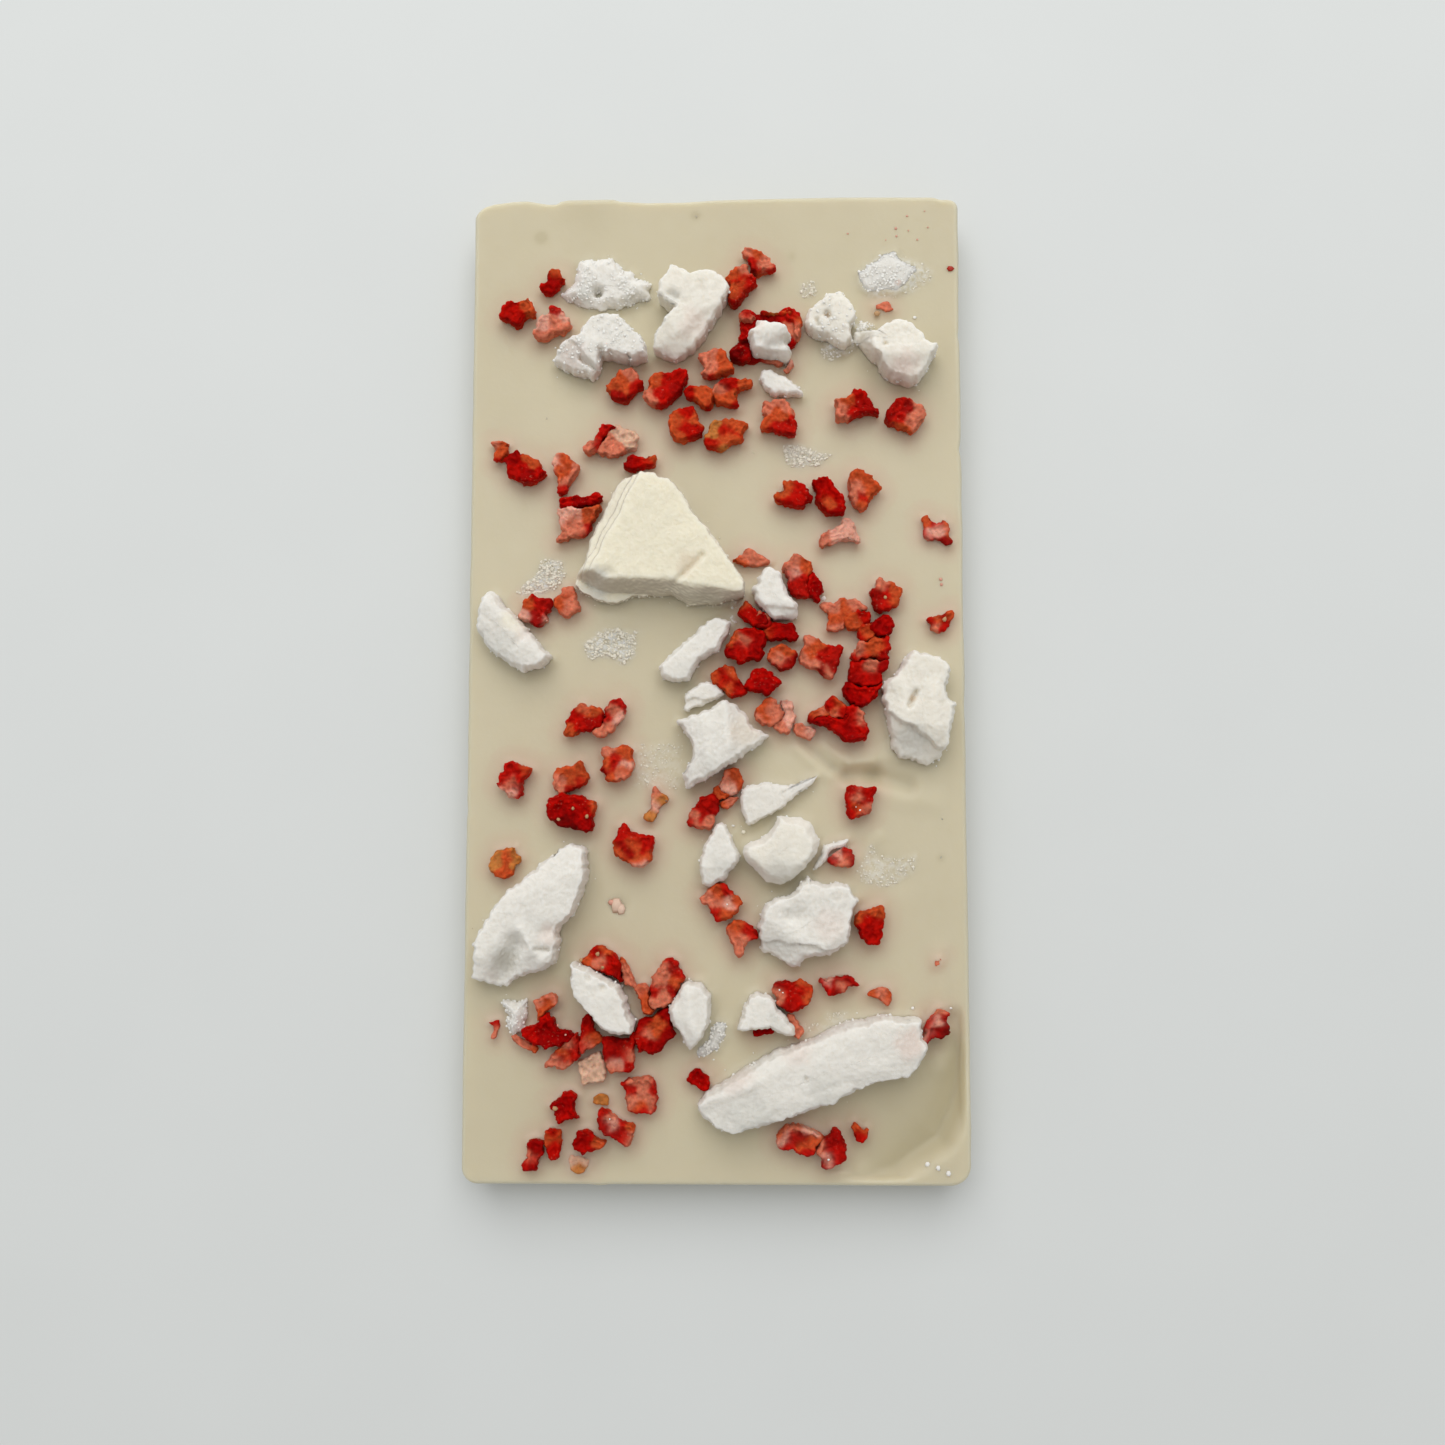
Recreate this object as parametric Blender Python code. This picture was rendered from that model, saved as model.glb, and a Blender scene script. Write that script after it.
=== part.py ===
"""White chocolate bar strewn with broken meringue and dried strawberry dice.

The origin is the centre of the underside. +X runs across the bar, +Y along its length and +Z up.
Every size below is in millimetres and the meshes are scaled to metres when they are made.
"""

import math
import random

import bmesh
import bpy
from mathutils import Euler, Vector

MM = 0.001

# Bar: a plain moulded tablet, widest at the open face, with sides that draw in below
BAR_WIDTH = 77.0
BAR_LENGTH = 154.0
BAR_HEIGHT = 8.0
SIDE_DRAFT = 1.4
CORNER_RADIUS = 3.0
FOOT_FILLET = 1.2
RIM_ROUNDING = 0.5

# Gap between pieces that touch
GAP = 0.3

# Meringue: how far a piece is sunk, how boxy its section is, how far its flank tucks in underneath
SUNK = 1.0
SECTION_POWER = 0.5
TUCK = 0.92
LATITUDES = 6
LEAST_TOP = 0.3

# Fruit: how far a die is sunk, how deep its faces are sucked in, how uneven its corners are
FRUIT_SUNK = 1.2
FRUIT_PINCH = 0.17
FRUIT_UNEVEN = 0.13
FRUIT_TILT = 13.0
FRUIT_SEED = 41

WHITE = (0.86, 0.85, 0.80)
CREAM = (0.84, 0.79, 0.66)

# Meringue pieces. "corners" is the plan outline, clockwise, "height" the crown above the chocolate,
# "cuts" are broken faces: heading in degrees from +X, distance from the middle, fall per millimetre
MERINGUES = [
    {"corners": [(-21, 66.4), (-18, 66.2), (-16, 66.5), (-15, 65.2), (-13, 64.2), (-12.3, 63), (-10, 61.6),
                 (-10.3, 59.4), (-13, 58.3), (-17, 57.8), (-20.5, 58.2), (-23.2, 59.2), (-24.3, 60.4),
                 (-22.5, 62.5), (-22, 64.8)],
     "height": 2.2, "cuts": [(235, 3.5, 0.3)], "colour": WHITE},
    {"corners": [(-19.6, 57), (-17.5, 57.3), (-15.5, 57.1), (-14.3, 56.4), (-12, 54), (-10.9, 51.5),
                 (-10.4, 49.2), (-12.8, 48.7), (-15.5, 49.2), (-17.6, 49.6), (-17.7, 48.2), (-18.8, 46.2),
                 (-22, 47.1), (-25, 48.8), (-25.6, 49.9), (-24.2, 53.4), (-21.4, 54.2), (-20.9, 55.7)],
     "height": 5.4, "cuts": [(225, 3.5, 0.7), (60, 4.5, 0.4)], "colour": WHITE},
    {"corners": [(-7, 65.1), (-4.2, 64.1), (-0.5, 64.3), (1.2, 63), (2.3, 61.7), (1, 57.5), (-1.5, 52.8),
                 (-3.2, 50.8), (-6, 48.9), (-9.7, 50.3), (-9.5, 52), (-6.3, 57), (-6.2, 58.3), (-8, 59.4),
                 (-9.2, 60.7), (-8.8, 62.5)],
     "height": 6.0, "cuts": [(305, 2.5, 0.5), (240, 4.0, 0.35)], "colour": CREAM},
    {"corners": [(5.6, 52.5), (5.4, 54.3), (6.6, 56), (7.3, 56.4), (10, 55.6), (11.3, 55.2), (12.1, 53.8),
                 (10.9, 51.2), (11.7, 49.6), (11.2, 48.7), (8.3, 49.3), (5.7, 49.8)],
     "height": 6.2, "sunk": -0.6, "cuts": [(300, 1.0, 0.6)], "colour": WHITE},
    {"corners": [(7.1, 48.1), (9, 47.9), (11, 46.8), (12.6, 45.5), (13.9, 43.5), (10.5, 43.7), (9.3, 43.4),
                 (8, 44.5), (7.1, 46.4)],
     "height": 2.8, "cuts": [(60, 1.2, 0.4)], "colour": WHITE},
    {"corners": [(14.4, 57.2), (15.2, 58.4), (16.8, 59.4), (17.8, 60.6), (19.9, 60.6), (21.8, 58.3),
                 (22.2, 56.6), (20.9, 53.9), (21.2, 51.6), (20.2, 50.8), (18.8, 51.3), (17.5, 52.4),
                 (14.8, 52.8), (13.9, 54.5)],
     "height": 4.2, "cuts": [(250, 2.5, 0.5)], "colour": CREAM},
    {"corners": [(21.9, 55), (23.5, 55.1), (25.2, 54.4), (27.7, 56.3), (28.7, 56.6), (29.9, 56.2),
                 (32.3, 54.3), (33, 52.8), (34.8, 52.1), (34.4, 51), (33.6, 50.2), (33.4, 48), (31.3, 45),
                 (27.5, 45.4), (26.2, 46.2), (24.2, 49.4), (22.6, 51.8), (21.6, 53.2)],
     "height": 6.2, "cuts": [(262, 1.0, 0.55), (150, 4.0, 0.45)], "colour": CREAM},
    {"corners": [(22.3, 63.4), (24.5, 65.3), (26.3, 66.7), (28.2, 67), (29.4, 65.4), (31.6, 64.7),
                 (32.2, 64.1), (30.7, 62.8), (30, 61.4), (28.2, 60.4), (26.8, 60.7), (25.4, 60.2),
                 (23.1, 61.1)],
     "height": 0.9, "cuts": [], "colour": WHITE},
    {"corners": [(-21.9, 14.5), (-20.4, 17.6), (-19.3, 21.5), (-17.3, 25.7), (-15.8, 29.2), (-14.6, 30.8),
                 (-12.4, 31.4), (-10.5, 32.1), (-9.2, 31.8), (-8.6, 31), (-7, 30.7), (-6, 29.7), (-3, 25),
                 (-0.8, 22), (1.3, 18.6), (4.7, 13.2), (4.4, 11.8), (0, 10.8), (-4, 10.7), (-6.5, 12.3),
                 (-12.5, 12.1), (-15, 11.1), (-17.5, 11.3), (-20.5, 12.8)],
     "height": 7.6, "cuts": [(266, 4.6, 1.4), (154, 6.4, 0.8)], "colour": CREAM},
    {"corners": [(-36.4, 12.4), (-35.4, 13.3), (-34.4, 13.1), (-31, 9.5), (-27.5, 5.6), (-24.9, 2.7),
                 (-25.1, 1.8), (-29.2, 0.3), (-33, 2.5), (-35.7, 5), (-37.1, 8), (-36.7, 11)],
     "height": 4.8, "cuts": [(45, 1.2, 0.5), (222, 1.4, 0.6)], "colour": WHITE},
    {"corners": [(7.2, 16.6), (8.2, 17), (10.1, 15.9), (10.9, 13.6), (11.5, 12), (12.5, 10.8), (12.9, 9.3),
                 (12, 8.3), (8.8, 8.3), (7.2, 10.1), (6.1, 11.2), (5.7, 13.5), (7, 15.6)],
     "height": 4.6, "cuts": [(290, 3.0, 0.5)], "colour": WHITE},
    {"corners": [(-8.8, 1.3), (-6.5, 3.8), (-3.2, 6.8), (-1.5, 8.3), (0.6, 9.2), (2.6, 8.5), (1.8, 6.4),
                 (0.5, 3.6), (-1.5, 2.5), (-2.8, 1.4), (-3.9, -1.1), (-6.5, -1.1), (-8.2, -0.4)],
     "height": 4.4, "cuts": [(130, 1.5, 0.4)], "colour": WHITE},
    {"corners": [(-4.7, -3.4), (-3.9, -2.1), (-1.9, -1), (0, -0.9), (1.6, -3.1), (0, -3.9), (-1.9, -4.7),
                 (-4.7, -5.6), (-4.6, -4.2)],
     "height": 2.6, "cuts": [], "colour": WHITE},
    {"corners": [(-6, -7), (-0.5, -4.8), (1.3, -3.7), (2.6, -4.2), (4.5, -5.7), (5.9, -7.9), (8.2, -9.3),
                 (5, -12), (0, -15.4), (-3.2, -17.2), (-4.5, -17.4), (-4.9, -15.3), (-3.3, -12.5),
                 (-3.2, -10.5)],
     "height": 6.4, "cuts": [(12, 1.2, 0.5), (195, 1.8, 0.4)], "colour": WHITE},
    {"corners": [(28.9, 2.2), (30.5, 3.9), (34.2, 3), (35.5, 2.4), (36.1, 0.9), (35.5, -2.1),
                 (35.8, -3.2), (37, -4.3), (36.6, -5.3), (35.5, -10.8), (34.2, -12.9), (32.4, -13.7),
                 (27.9, -12.6), (26.6, -10.5), (26.3, -7.9), (25.3, -3.9), (25.5, -1.6), (27.6, 0)],
     "height": 6.6, "cuts": [(262, 3.0, 0.5), (175, 2.8, 0.4)], "colour": CREAM},
    {"corners": [(4.2, -17.6), (5.5, -16.7), (7.9, -16.3), (10, -16.8), (12.4, -16.5), (14.2, -15.8),
                 (15.7, -15.3), (14.7, -16.8), (12.6, -18.2), (10.5, -20), (7.6, -21.8), (5, -23),
                 (3.8, -19.5)],
     "height": 2.4, "cuts": [(30, 3.0, 0.15)], "colour": WHITE},
    {"corners": [(9.7, -21.6), (12.9, -21.6), (14.3, -22.4), (15.1, -23.7), (15.8, -25.3), (15.5, -27.1),
                 (13.2, -30), (11.3, -31.4), (9.7, -31.8), (7.9, -31.4), (5, -28.7), (4.2, -27.1),
                 (4.6, -25.9), (6.8, -25), (8.2, -24.1), (9.1, -22.9)],
     "height": 6.6, "cuts": [(255, 2.4, 0.7)], "colour": CREAM},
    {"corners": [(0, -22.9), (1, -22.4), (2.1, -23.7), (3.6, -27.1), (3.5, -28.4), (2.4, -29.7),
                 (1.6, -31), (-0.5, -32.1), (-1.8, -31.8), (-2.4, -29.7), (-2.4, -27.9), (-0.8, -24.5)],
     "height": 4.6, "cuts": [(270, 2.0, 0.35)], "colour": WHITE},
    {"corners": [(16.3, -26), (18.4, -25.4), (20.2, -25.1), (19.9, -26), (17.6, -26.6), (16.8, -28.4),
                 (15.2, -29.8), (14.9, -29.3), (15.9, -27.7)],
     "height": 1.8, "middle": (17, -26.7), "cuts": [], "colour": WHITE},
    {"corners": [(-23.2, -26.6), (-21.8, -26), (-20.3, -26), (-19.3, -26.8), (-19.1, -30.5),
                 (-20.8, -35.5), (-23.2, -38.2), (-23.2, -40.6), (-24.2, -44), (-25.8, -44.7),
                 (-27.6, -44.9), (-31.6, -47), (-33.4, -46.9), (-37.1, -46.2), (-36.7, -44.3),
                 (-36.8, -40.6), (-34.7, -36.8), (-32.4, -33.4), (-29.5, -31.6), (-26.8, -29.5)],
     "height": 6.6, "cuts": [(285, 3.0, 0.45), (120, 3.5, 0.4)], "colour": WHITE},
    {"corners": [(13.9, -30.7), (14.7, -31.3), (17.1, -31.8), (20.3, -32.1), (21.7, -34.2), (20.8, -35.3),
                 (20.3, -40.3), (18.2, -42), (16.8, -42.6), (13.9, -42.9), (11.8, -44.3), (10.5, -44.1),
                 (7, -41.6), (6.4, -38.2), (7, -36.3), (8.2, -34.2), (11.6, -33.2), (12.6, -31.8)],
     "height": 5.8, "cuts": [(232, 3.0, 0.55), (300, 4.0, 0.5)], "colour": WHITE},
    {"corners": [(-21.8, -43.7), (-19, -44.3), (-15.5, -45.9), (-14.2, -46.6), (-12.9, -49.5),
                 (-12, -52.7), (-12.6, -54.7), (-16.3, -54.3), (-18.2, -52.7), (-18.8, -51.3),
                 (-21.1, -49.3), (-22.1, -46.9)],
     "height": 7.4, "cuts": [(205, 2.0, 0.4)], "colour": WHITE},
    {"corners": [(-32, -49.6), (-28.3, -49.1), (-28.3, -51.6), (-28.8, -53.3), (-30.5, -54.9),
                 (-31.7, -53.4), (-31.7, -51.6)],
     "height": 2.6, "cuts": [], "colour": WHITE},
    {"corners": [(-4.9, -46.6), (-3.9, -46), (-1.8, -46.4), (-0.4, -48.4), (-0.5, -50.6), (-0.9, -52.8),
                 (-1.9, -54.8), (-3.9, -56.8), (-5, -54.8), (-6.8, -52.2), (-6.9, -50.8), (-5.5, -48.2)],
     "height": 5.4, "cuts": [(240, 2.0, 0.4)], "colour": CREAM},
    {"corners": [(0.2, -52.2), (1.6, -53), (1.9, -54.6), (0.6, -56.2), (-1.8, -57.8), (-2.7, -57.4),
                 (-2.4, -56.6), (-0.9, -54.6)],
     "height": 1.2, "cuts": [], "colour": WHITE},
    {"corners": [(5.2, -48.3), (6.4, -47.9), (7.9, -48.1), (9.7, -50.2), (11.8, -53.3), (12, -54.4),
                 (11.2, -54.8), (8, -53.4), (5, -53.9), (3.3, -53.7), (3.9, -50.8)],
     "height": 4.8, "cuts": [(330, 2.5, 0.3)], "colour": WHITE},
    {"corners": [(-2.9, -64.8), (-1.8, -63.6), (0, -62.4), (5.3, -58.7), (9.7, -56.1), (13.2, -55.2),
                 (16.8, -53.4), (20, -52.2), (25.9, -51.5), (27.4, -51.9), (31, -52), (31, -54.5),
                 (32, -56.5), (30.3, -59.5), (29.2, -60.6), (25.8, -61.1), (21.1, -62.6), (18.2, -64.4),
                 (11.8, -66.5), (5.3, -68.6), (2.4, -69.1), (-0.2, -68.1), (-2.7, -65.7)],
     "height": 6.6, "cuts": [(112, 2.6, 0.5), (292, 2.2, 0.35), (200, 12.0, 0.3)], "colour": WHITE},
]

# Strawberry dice: place of the middle across and along the bar, length, width, turn in degrees, rise
FRUITS = [
    (-26.0, 62.3, 3.6, 5.0, -15, 2.6), (-31.5, 57.5, 5.2, 5.0, 40, 3.2), (-25.8, 55.6, 5.6, 5.2, 15, 3.0),
    (6.8, 65.4, 4.4, 4.6, 35, 2.6), (4.2, 61.5, 4.0, 7.0, -20, 3.0), (8.4, 52.6, 8.0, 7.6, 5, 1.6),
    (4.9, 56.3, 3.0, 3.2, 10, 3.0), (9.2, 57.3, 5.0, 2.0, 8, 2.6), (12.4, 55.6, 2.6, 4.6, -10, 2.8),
    (12.0, 52.3, 2.0, 3.6, 10, 2.2), (11.8, 49.0, 1.8, 3.0, -15, 1.8), (4.6, 53.2, 2.4, 3.6, 0, 2.8),
    (4.0, 50.6, 4.0, 3.2, 10, 3.2), (26.6, 58.2, 2.6, 1.6, 20, 0.8), (-14.4, 45.6, 5.0, 5.4, 12, 3.4),
    (-7.8, 45.0, 6.0, 6.2, 20, 3.6), (0.0, 49.2, 5.4, 5.0, -25, 3.2), (-2.6, 43.8, 4.8, 4.8, -10, 3.2),
    (1.8, 44.4, 5.0, 5.4, 15, 3.0), (-4.4, 39.6, 4.8, 6.0, 12, 3.2), (1.4, 38.0, 6.6, 5.0, -8, 3.0),
    (9.6, 40.3, 4.4, 6.6, 5, 3.2), (21.8, 42.0, 6.0, 4.8, -20, 3.4), (29.3, 40.7, 5.6, 5.6, -18, 3.4),
    (-14.9, 36.9, 5.8, 4.8, -15, 2.2), (-18.3, 37.2, 2.0, 5.0, -38, 2.8), (-11.9, 33.3, 4.6, 3.2, 5, 2.8),
    (-33.8, 35.7, 2.8, 3.4, -30, 2.4), (-29.8, 32.8, 6.4, 4.4, -28, 3.2),
    (-23.4, 31.8, 3.2, 6.2, -12, 2.8), (-20.9, 27.4, 6.6, 2.0, 3, 3.0), (-21.6, 24.0, 5.2, 5.0, 12, 2.8),
    (12.0, 28.0, 5.0, 4.6, 5, 3.2), (17.6, 28.0, 4.2, 6.4, 22, 3.4), (22.8, 28.8, 4.4, 5.6, -25, 3.0),
    (19.4, 22.2, 5.4, 3.6, 15, 2.4), (34.3, 22.3, 4.2, 3.8, -5, 1.4), (5.5, 18.4, 5.4, 2.4, -5, 1.6),
    (12.4, 16.2, 4.6, 5.4, 18, 3.4), (14.9, 13.4, 3.2, 4.2, 25, 2.8), (26.4, 12.3, 4.8, 5.0, -15, 3.2),
    (18.8, 10.0, 4.8, 3.6, -15, 2.0), (21.6, 9.0, 4.2, 3.2, -10, 2.8), (25.6, 7.8, 3.6, 3.0, 35, 3.2),
    (22.9, 7.2, 2.2, 2.8, 0, 2.6), (24.4, 4.2, 4.6, 4.4, -20, 3.4), (23.6, 0.4, 5.2, 4.4, 10, 3.2),
    (22.4, -2.3, 5.0, 4.6, -25, 3.6), (34.3, 8.3, 4.2, 2.6, 32, 1.8), (4.8, 10.2, 3.2, 2.6, -25, 3.2),
    (7.0, 8.6, 3.2, 3.0, 10, 3.0), (10.4, 6.8, 4.4, 3.0, -5, 2.8), (4.8, 4.4, 5.2, 5.2, 20, 3.6),
    (10.2, 2.6, 4.4, 3.8, 0, 3.0), (15.6, 3.0, 6.0, 5.6, -22, 3.0), (2.1, -1.0, 4.6, 4.2, -35, 2.8),
    (7.4, -1.1, 4.8, 4.8, 15, 3.4), (8.3, -5.7, 3.8, 4.0, 0, 2.6), (10.6, -6.3, 3.0, 4.6, 5, 2.2),
    (13.7, -8.8, 3.2, 2.4, -20, 1.8), (15.9, -5.9, 3.0, 2.4, 20, 2.6), (18.4, -5.1, 3.8, 3.8, -15, 3.0),
    (20.3, -7.5, 6.4, 5.2, -30, 3.8), (2.4, -16.2, 3.0, 3.8, -20, 2.4), (0.5, -17.9, 2.4, 3.4, 10, 2.4),
    (2.0, -19.5, 2.6, 2.2, 20, 2.0), (-1.9, -21.0, 4.6, 4.6, 35, 3.2), (22.1, -19.4, 4.4, 4.8, -5, 3.2),
    (19.2, -27.9, 4.0, 2.6, -5, 2.4), (0.6, -34.4, 5.4, 4.6, -25, 3.2), (4.2, -40.0, 4.4, 4.8, -20, 3.2),
    (23.6, -38.2, 4.4, 4.8, -5, 3.4), (-20.2, -6.7, 4.8, 4.4, 20, 3.2), (-16.4, -6.6, 3.4, 5.8, -28, 3.0),
    (-30.8, -16.0, 4.8, 5.0, -22, 3.2), (-22.0, -15.8, 5.4, 4.2, -5, 3.0),
    (-21.8, -21.1, 7.0, 5.0, -8, 3.6), (-15.0, -13.6, 5.0, 5.0, 5, 3.2),
    (-12.3, -26.1, 5.6, 5.0, -12, 3.4), (-8.9, -19.5, 2.4, 5.0, -28, 1.4),
    (-32.2, -28.8, 4.4, 4.4, 20, 2.2), (-17.3, -43.0, 5.4, 4.6, -10, 3.4),
    (-13.4, -45.6, 2.0, 4.8, 22, 2.4), (-7.2, -46.2, 4.0, 6.0, -35, 3.4),
    (-10.6, -49.0, 3.2, 4.6, 5, 3.0), (-8.9, -53.6, 5.2, 5.8, -20, 3.6), (-14.6, -57.2, 4.8, 5.0, 8, 3.4),
    (-18.4, -54.4, 3.4, 4.8, 20, 3.0), (-22.6, -56.6, 6.4, 3.4, 28, 2.8),
    (-25.2, -53.2, 6.2, 4.0, -12, 3.4), (-25.9, -49.8, 4.4, 2.6, 32, 2.6),
    (-28.4, -55.6, 4.0, 1.8, -25, 2.0), (-33.3, -53.5, 1.6, 2.8, 15, 1.2),
    (-18.6, -59.2, 3.8, 4.2, 0, 1.8), (-17.2, -63.9, 2.6, 1.6, 10, 0.8), (-11.3, -62.9, 4.8, 5.4, 3, 2.8),
    (-22.7, -65.2, 4.2, 4.4, 20, 2.8), (-14.6, -68.0, 5.4, 4.2, -30, 3.2),
    (-19.3, -70.2, 3.8, 3.4, 15, 2.8), (-24.7, -70.6, 2.4, 4.6, -5, 2.4),
    (-27.2, -72.0, 2.4, 4.2, -25, 2.6), (-20.4, -73.5, 3.4, 2.2, 0, 0.6),
    (-2.6, -60.8, 3.0, 3.0, 20, 2.2), (11.6, -48.3, 5.6, 4.8, -10, 3.4), (18.6, -46.8, 5.6, 2.6, 8, 2.8),
    (24.9, -48.2, 3.4, 2.2, -22, 1.6), (33.1, -53.1, 3.6, 5.0, -28, 3.6),
    (12.4, -69.6, 5.6, 4.0, -18, 3.2), (17.5, -71.0, 4.0, 5.4, -15, 3.4),
    (21.6, -68.6, 2.2, 3.0, 20, 1.8), (7.4, -53.9, 3.0, 1.4, 3, 2.0), (12.3, -52.6, 1.6, 3.8, 15, 2.0),
    (33.5, -43.6, 1.0, 1.0, 0, 0.6), (-27.7, 10.1, 5.4, 4.6, -10, 3.0), (-23.2, 11.2, 4.0, 4.8, -20, 2.6),
]


def clear_objects():
    for item in list(bpy.data.objects):
        bpy.data.objects.remove(item, do_unlink=True)


def new_collection(name):
    collection = bpy.data.collections.new(name)
    bpy.context.scene.collection.children.link(collection)
    return collection


def finish_material(name, colour, roughness):
    """A plain finish with the piece's own colour."""
    material = bpy.data.materials.new(name)
    material.use_nodes = True
    shader = material.node_tree.nodes["Principled BSDF"]
    shader.inputs["Base Color"].default_value = (*colour, 1.0)
    shader.inputs["Roughness"].default_value = roughness
    shader.inputs["Metallic"].default_value = 0.0
    return material


def add_object(name, bm, location, collection, material=None):
    """An object in metres from a mesh in millimetres, placed at a location in millimetres."""
    bmesh.ops.scale(bm, vec=Vector((MM, MM, MM)), verts=bm.verts)
    mesh = bpy.data.meshes.new(name)
    bm.to_mesh(mesh)
    bm.free()
    item = bpy.data.objects.new(name, mesh)
    item.location = Vector(location) * MM
    if material:
        mesh.materials.append(material)
    collection.objects.link(item)
    return item


# Chocolate bar

def upright_edges(bm):
    return [edge for edge in bm.edges if abs(edge.verts[0].co.z - edge.verts[1].co.z) > BAR_HEIGHT / 2]


def level_edges(bm, height):
    return [edge for edge in bm.edges if all(abs(vert.co.z - height) < 1e-4 for vert in edge.verts)]


def bar(collection, material):
    """The tablet alone: a drafted block with round corners, a filleted foot and a softened rim."""
    bm = bmesh.new()
    bmesh.ops.create_cube(bm, size=1.0)
    for vert in bm.verts:
        inset = SIDE_DRAFT if vert.co.z < 0 else 0.0
        vert.co.x = math.copysign(BAR_WIDTH / 2 - inset, vert.co.x)
        vert.co.y = math.copysign(BAR_LENGTH / 2 - inset, vert.co.y)
        vert.co.z = (vert.co.z + 0.5) * BAR_HEIGHT
    bmesh.ops.bevel(bm, geom=upright_edges(bm), offset=CORNER_RADIUS, segments=3, profile=0.5,
                    affect="EDGES", clamp_overlap=True)
    bmesh.ops.bevel(bm, geom=level_edges(bm, 0.0), offset=FOOT_FILLET, segments=2, profile=0.5,
                    affect="EDGES", clamp_overlap=True)
    bmesh.ops.bevel(bm, geom=level_edges(bm, BAR_HEIGHT), offset=RIM_ROUNDING, segments=1, profile=0.5,
                    affect="EDGES", clamp_overlap=True)
    return add_object("slab", bm, (0, 0, 0), collection, material)


# Broken meringue

def counter_clockwise(corners):
    pairs = zip(corners, corners[1:] + corners[:1])
    turn = sum(a[0] * b[1] - b[0] * a[1] for a, b in pairs)
    return corners if turn > 0 else corners[::-1]


def middle_of(corners):
    """Centre of area of an outline."""
    area = 0.0
    moment = Vector((0.0, 0.0))
    for a, b in zip(corners, corners[1:] + corners[:1]):
        cross = a[0] * b[1] - b[0] * a[1]
        area += cross / 2
        moment += (Vector(a) + Vector(b)) * cross / 6
    return moment / area


def top_height(piece, plan):
    """Crown height less the fall of each broken face that the point lies beyond."""
    height = piece["height"]
    for heading, distance, fall in piece["cuts"]:
        angle = math.radians(heading)
        beyond = plan.x * math.cos(angle) + plan.y * math.sin(angle) - distance
        height -= fall * max(beyond, 0.0)
    return max(height, LEAST_TOP * piece["height"])


def meringue_mesh(piece, grow):
    """A ball whose longitudes run out to the outline's corners and whose latitudes are boxy sections.

    grow is added all round: 0 for the piece itself, and the gap for the socket it leaves.
    """
    corners = counter_clockwise(piece["corners"])
    middle = Vector(piece.get("middle", middle_of(corners)))
    base = -piece.get("sunk", SUNK) - grow
    bm = bmesh.new()
    bmesh.ops.create_uvsphere(bm, u_segments=len(corners), v_segments=LATITUDES, radius=1.0)
    for vert in bm.verts:
        flat = Vector((vert.co.x, vert.co.y))
        level = math.copysign(abs(vert.co.z) ** SECTION_POWER, vert.co.z) if abs(vert.co.z) > 1e-6 else 0.0
        plan = Vector((0.0, 0.0))
        if flat.length > 1e-6:
            step = round(math.atan2(flat.y, flat.x) / math.tau * len(corners)) % len(corners)
            spoke = Vector(corners[step]) - middle
            reach = spoke.length - GAP + grow
            plan = spoke.normalized() * reach * flat.length ** SECTION_POWER
        widest = 0.35 * piece["height"]
        if level >= 0:
            height = widest + (top_height(piece, plan) + grow - widest) * level
        else:
            plan *= 1 - (1 - TUCK) * -level
            height = widest + (widest - base) * level
        vert.co = Vector((plan.x, plan.y, height))
    return bm, middle


# Dried strawberry

def fruit_die(number, place, collection):
    """A cube with sucked-in faces and uneven corners, tipped a little and sunk in the chocolate."""
    x, y, length, width, turn, rise = place
    draw = random.Random(FRUIT_SEED + number)
    size = Vector((length, width, rise + FRUIT_SUNK))
    bm = bmesh.new()
    bmesh.ops.create_cube(bm, size=1.0)
    bmesh.ops.poke(bm, faces=bm.faces)
    for vert in bm.verts:
        centre_of_face = vert.co.length < 0.6
        if centre_of_face:
            vert.co *= 1 - 2 * FRUIT_PINCH * draw.uniform(0.4, 1.2)
        else:
            vert.co = Vector([part * (1 + draw.uniform(-FRUIT_UNEVEN, FRUIT_UNEVEN)) for part in vert.co])
        vert.co = Vector([part * extent for part, extent in zip(vert.co, size)])
    bmesh.ops.triangulate(bm, faces=bm.faces)
    location = (x, y, BAR_HEIGHT + (rise - FRUIT_SUNK) / 2)
    die = add_object(f"fruit_{number:03d}", bm, location, collection)
    lean = [math.radians(draw.uniform(-FRUIT_TILT, FRUIT_TILT)) for _ in range(2)]
    die.rotation_euler = Euler((lean[0], lean[1], math.radians(turn)))
    return die


# Joining and cutting

def boolean(item, operation, collection):
    modifier = item.modifiers.new(operation.lower(), "BOOLEAN")
    modifier.operation = operation
    modifier.operand_type = "COLLECTION"
    modifier.collection = collection
    modifier.solver = "EXACT"


def apply_modifiers(item):
    bpy.context.view_layer.update()
    evaluated = item.evaluated_get(bpy.context.evaluated_depsgraph_get())
    mesh = bpy.data.meshes.new_from_object(evaluated)
    item.modifiers.clear()
    item.data = mesh


def remove_collection(collection):
    for item in list(collection.objects):
        bpy.data.objects.remove(item, do_unlink=True)
    bpy.data.collections.remove(collection)


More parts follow.
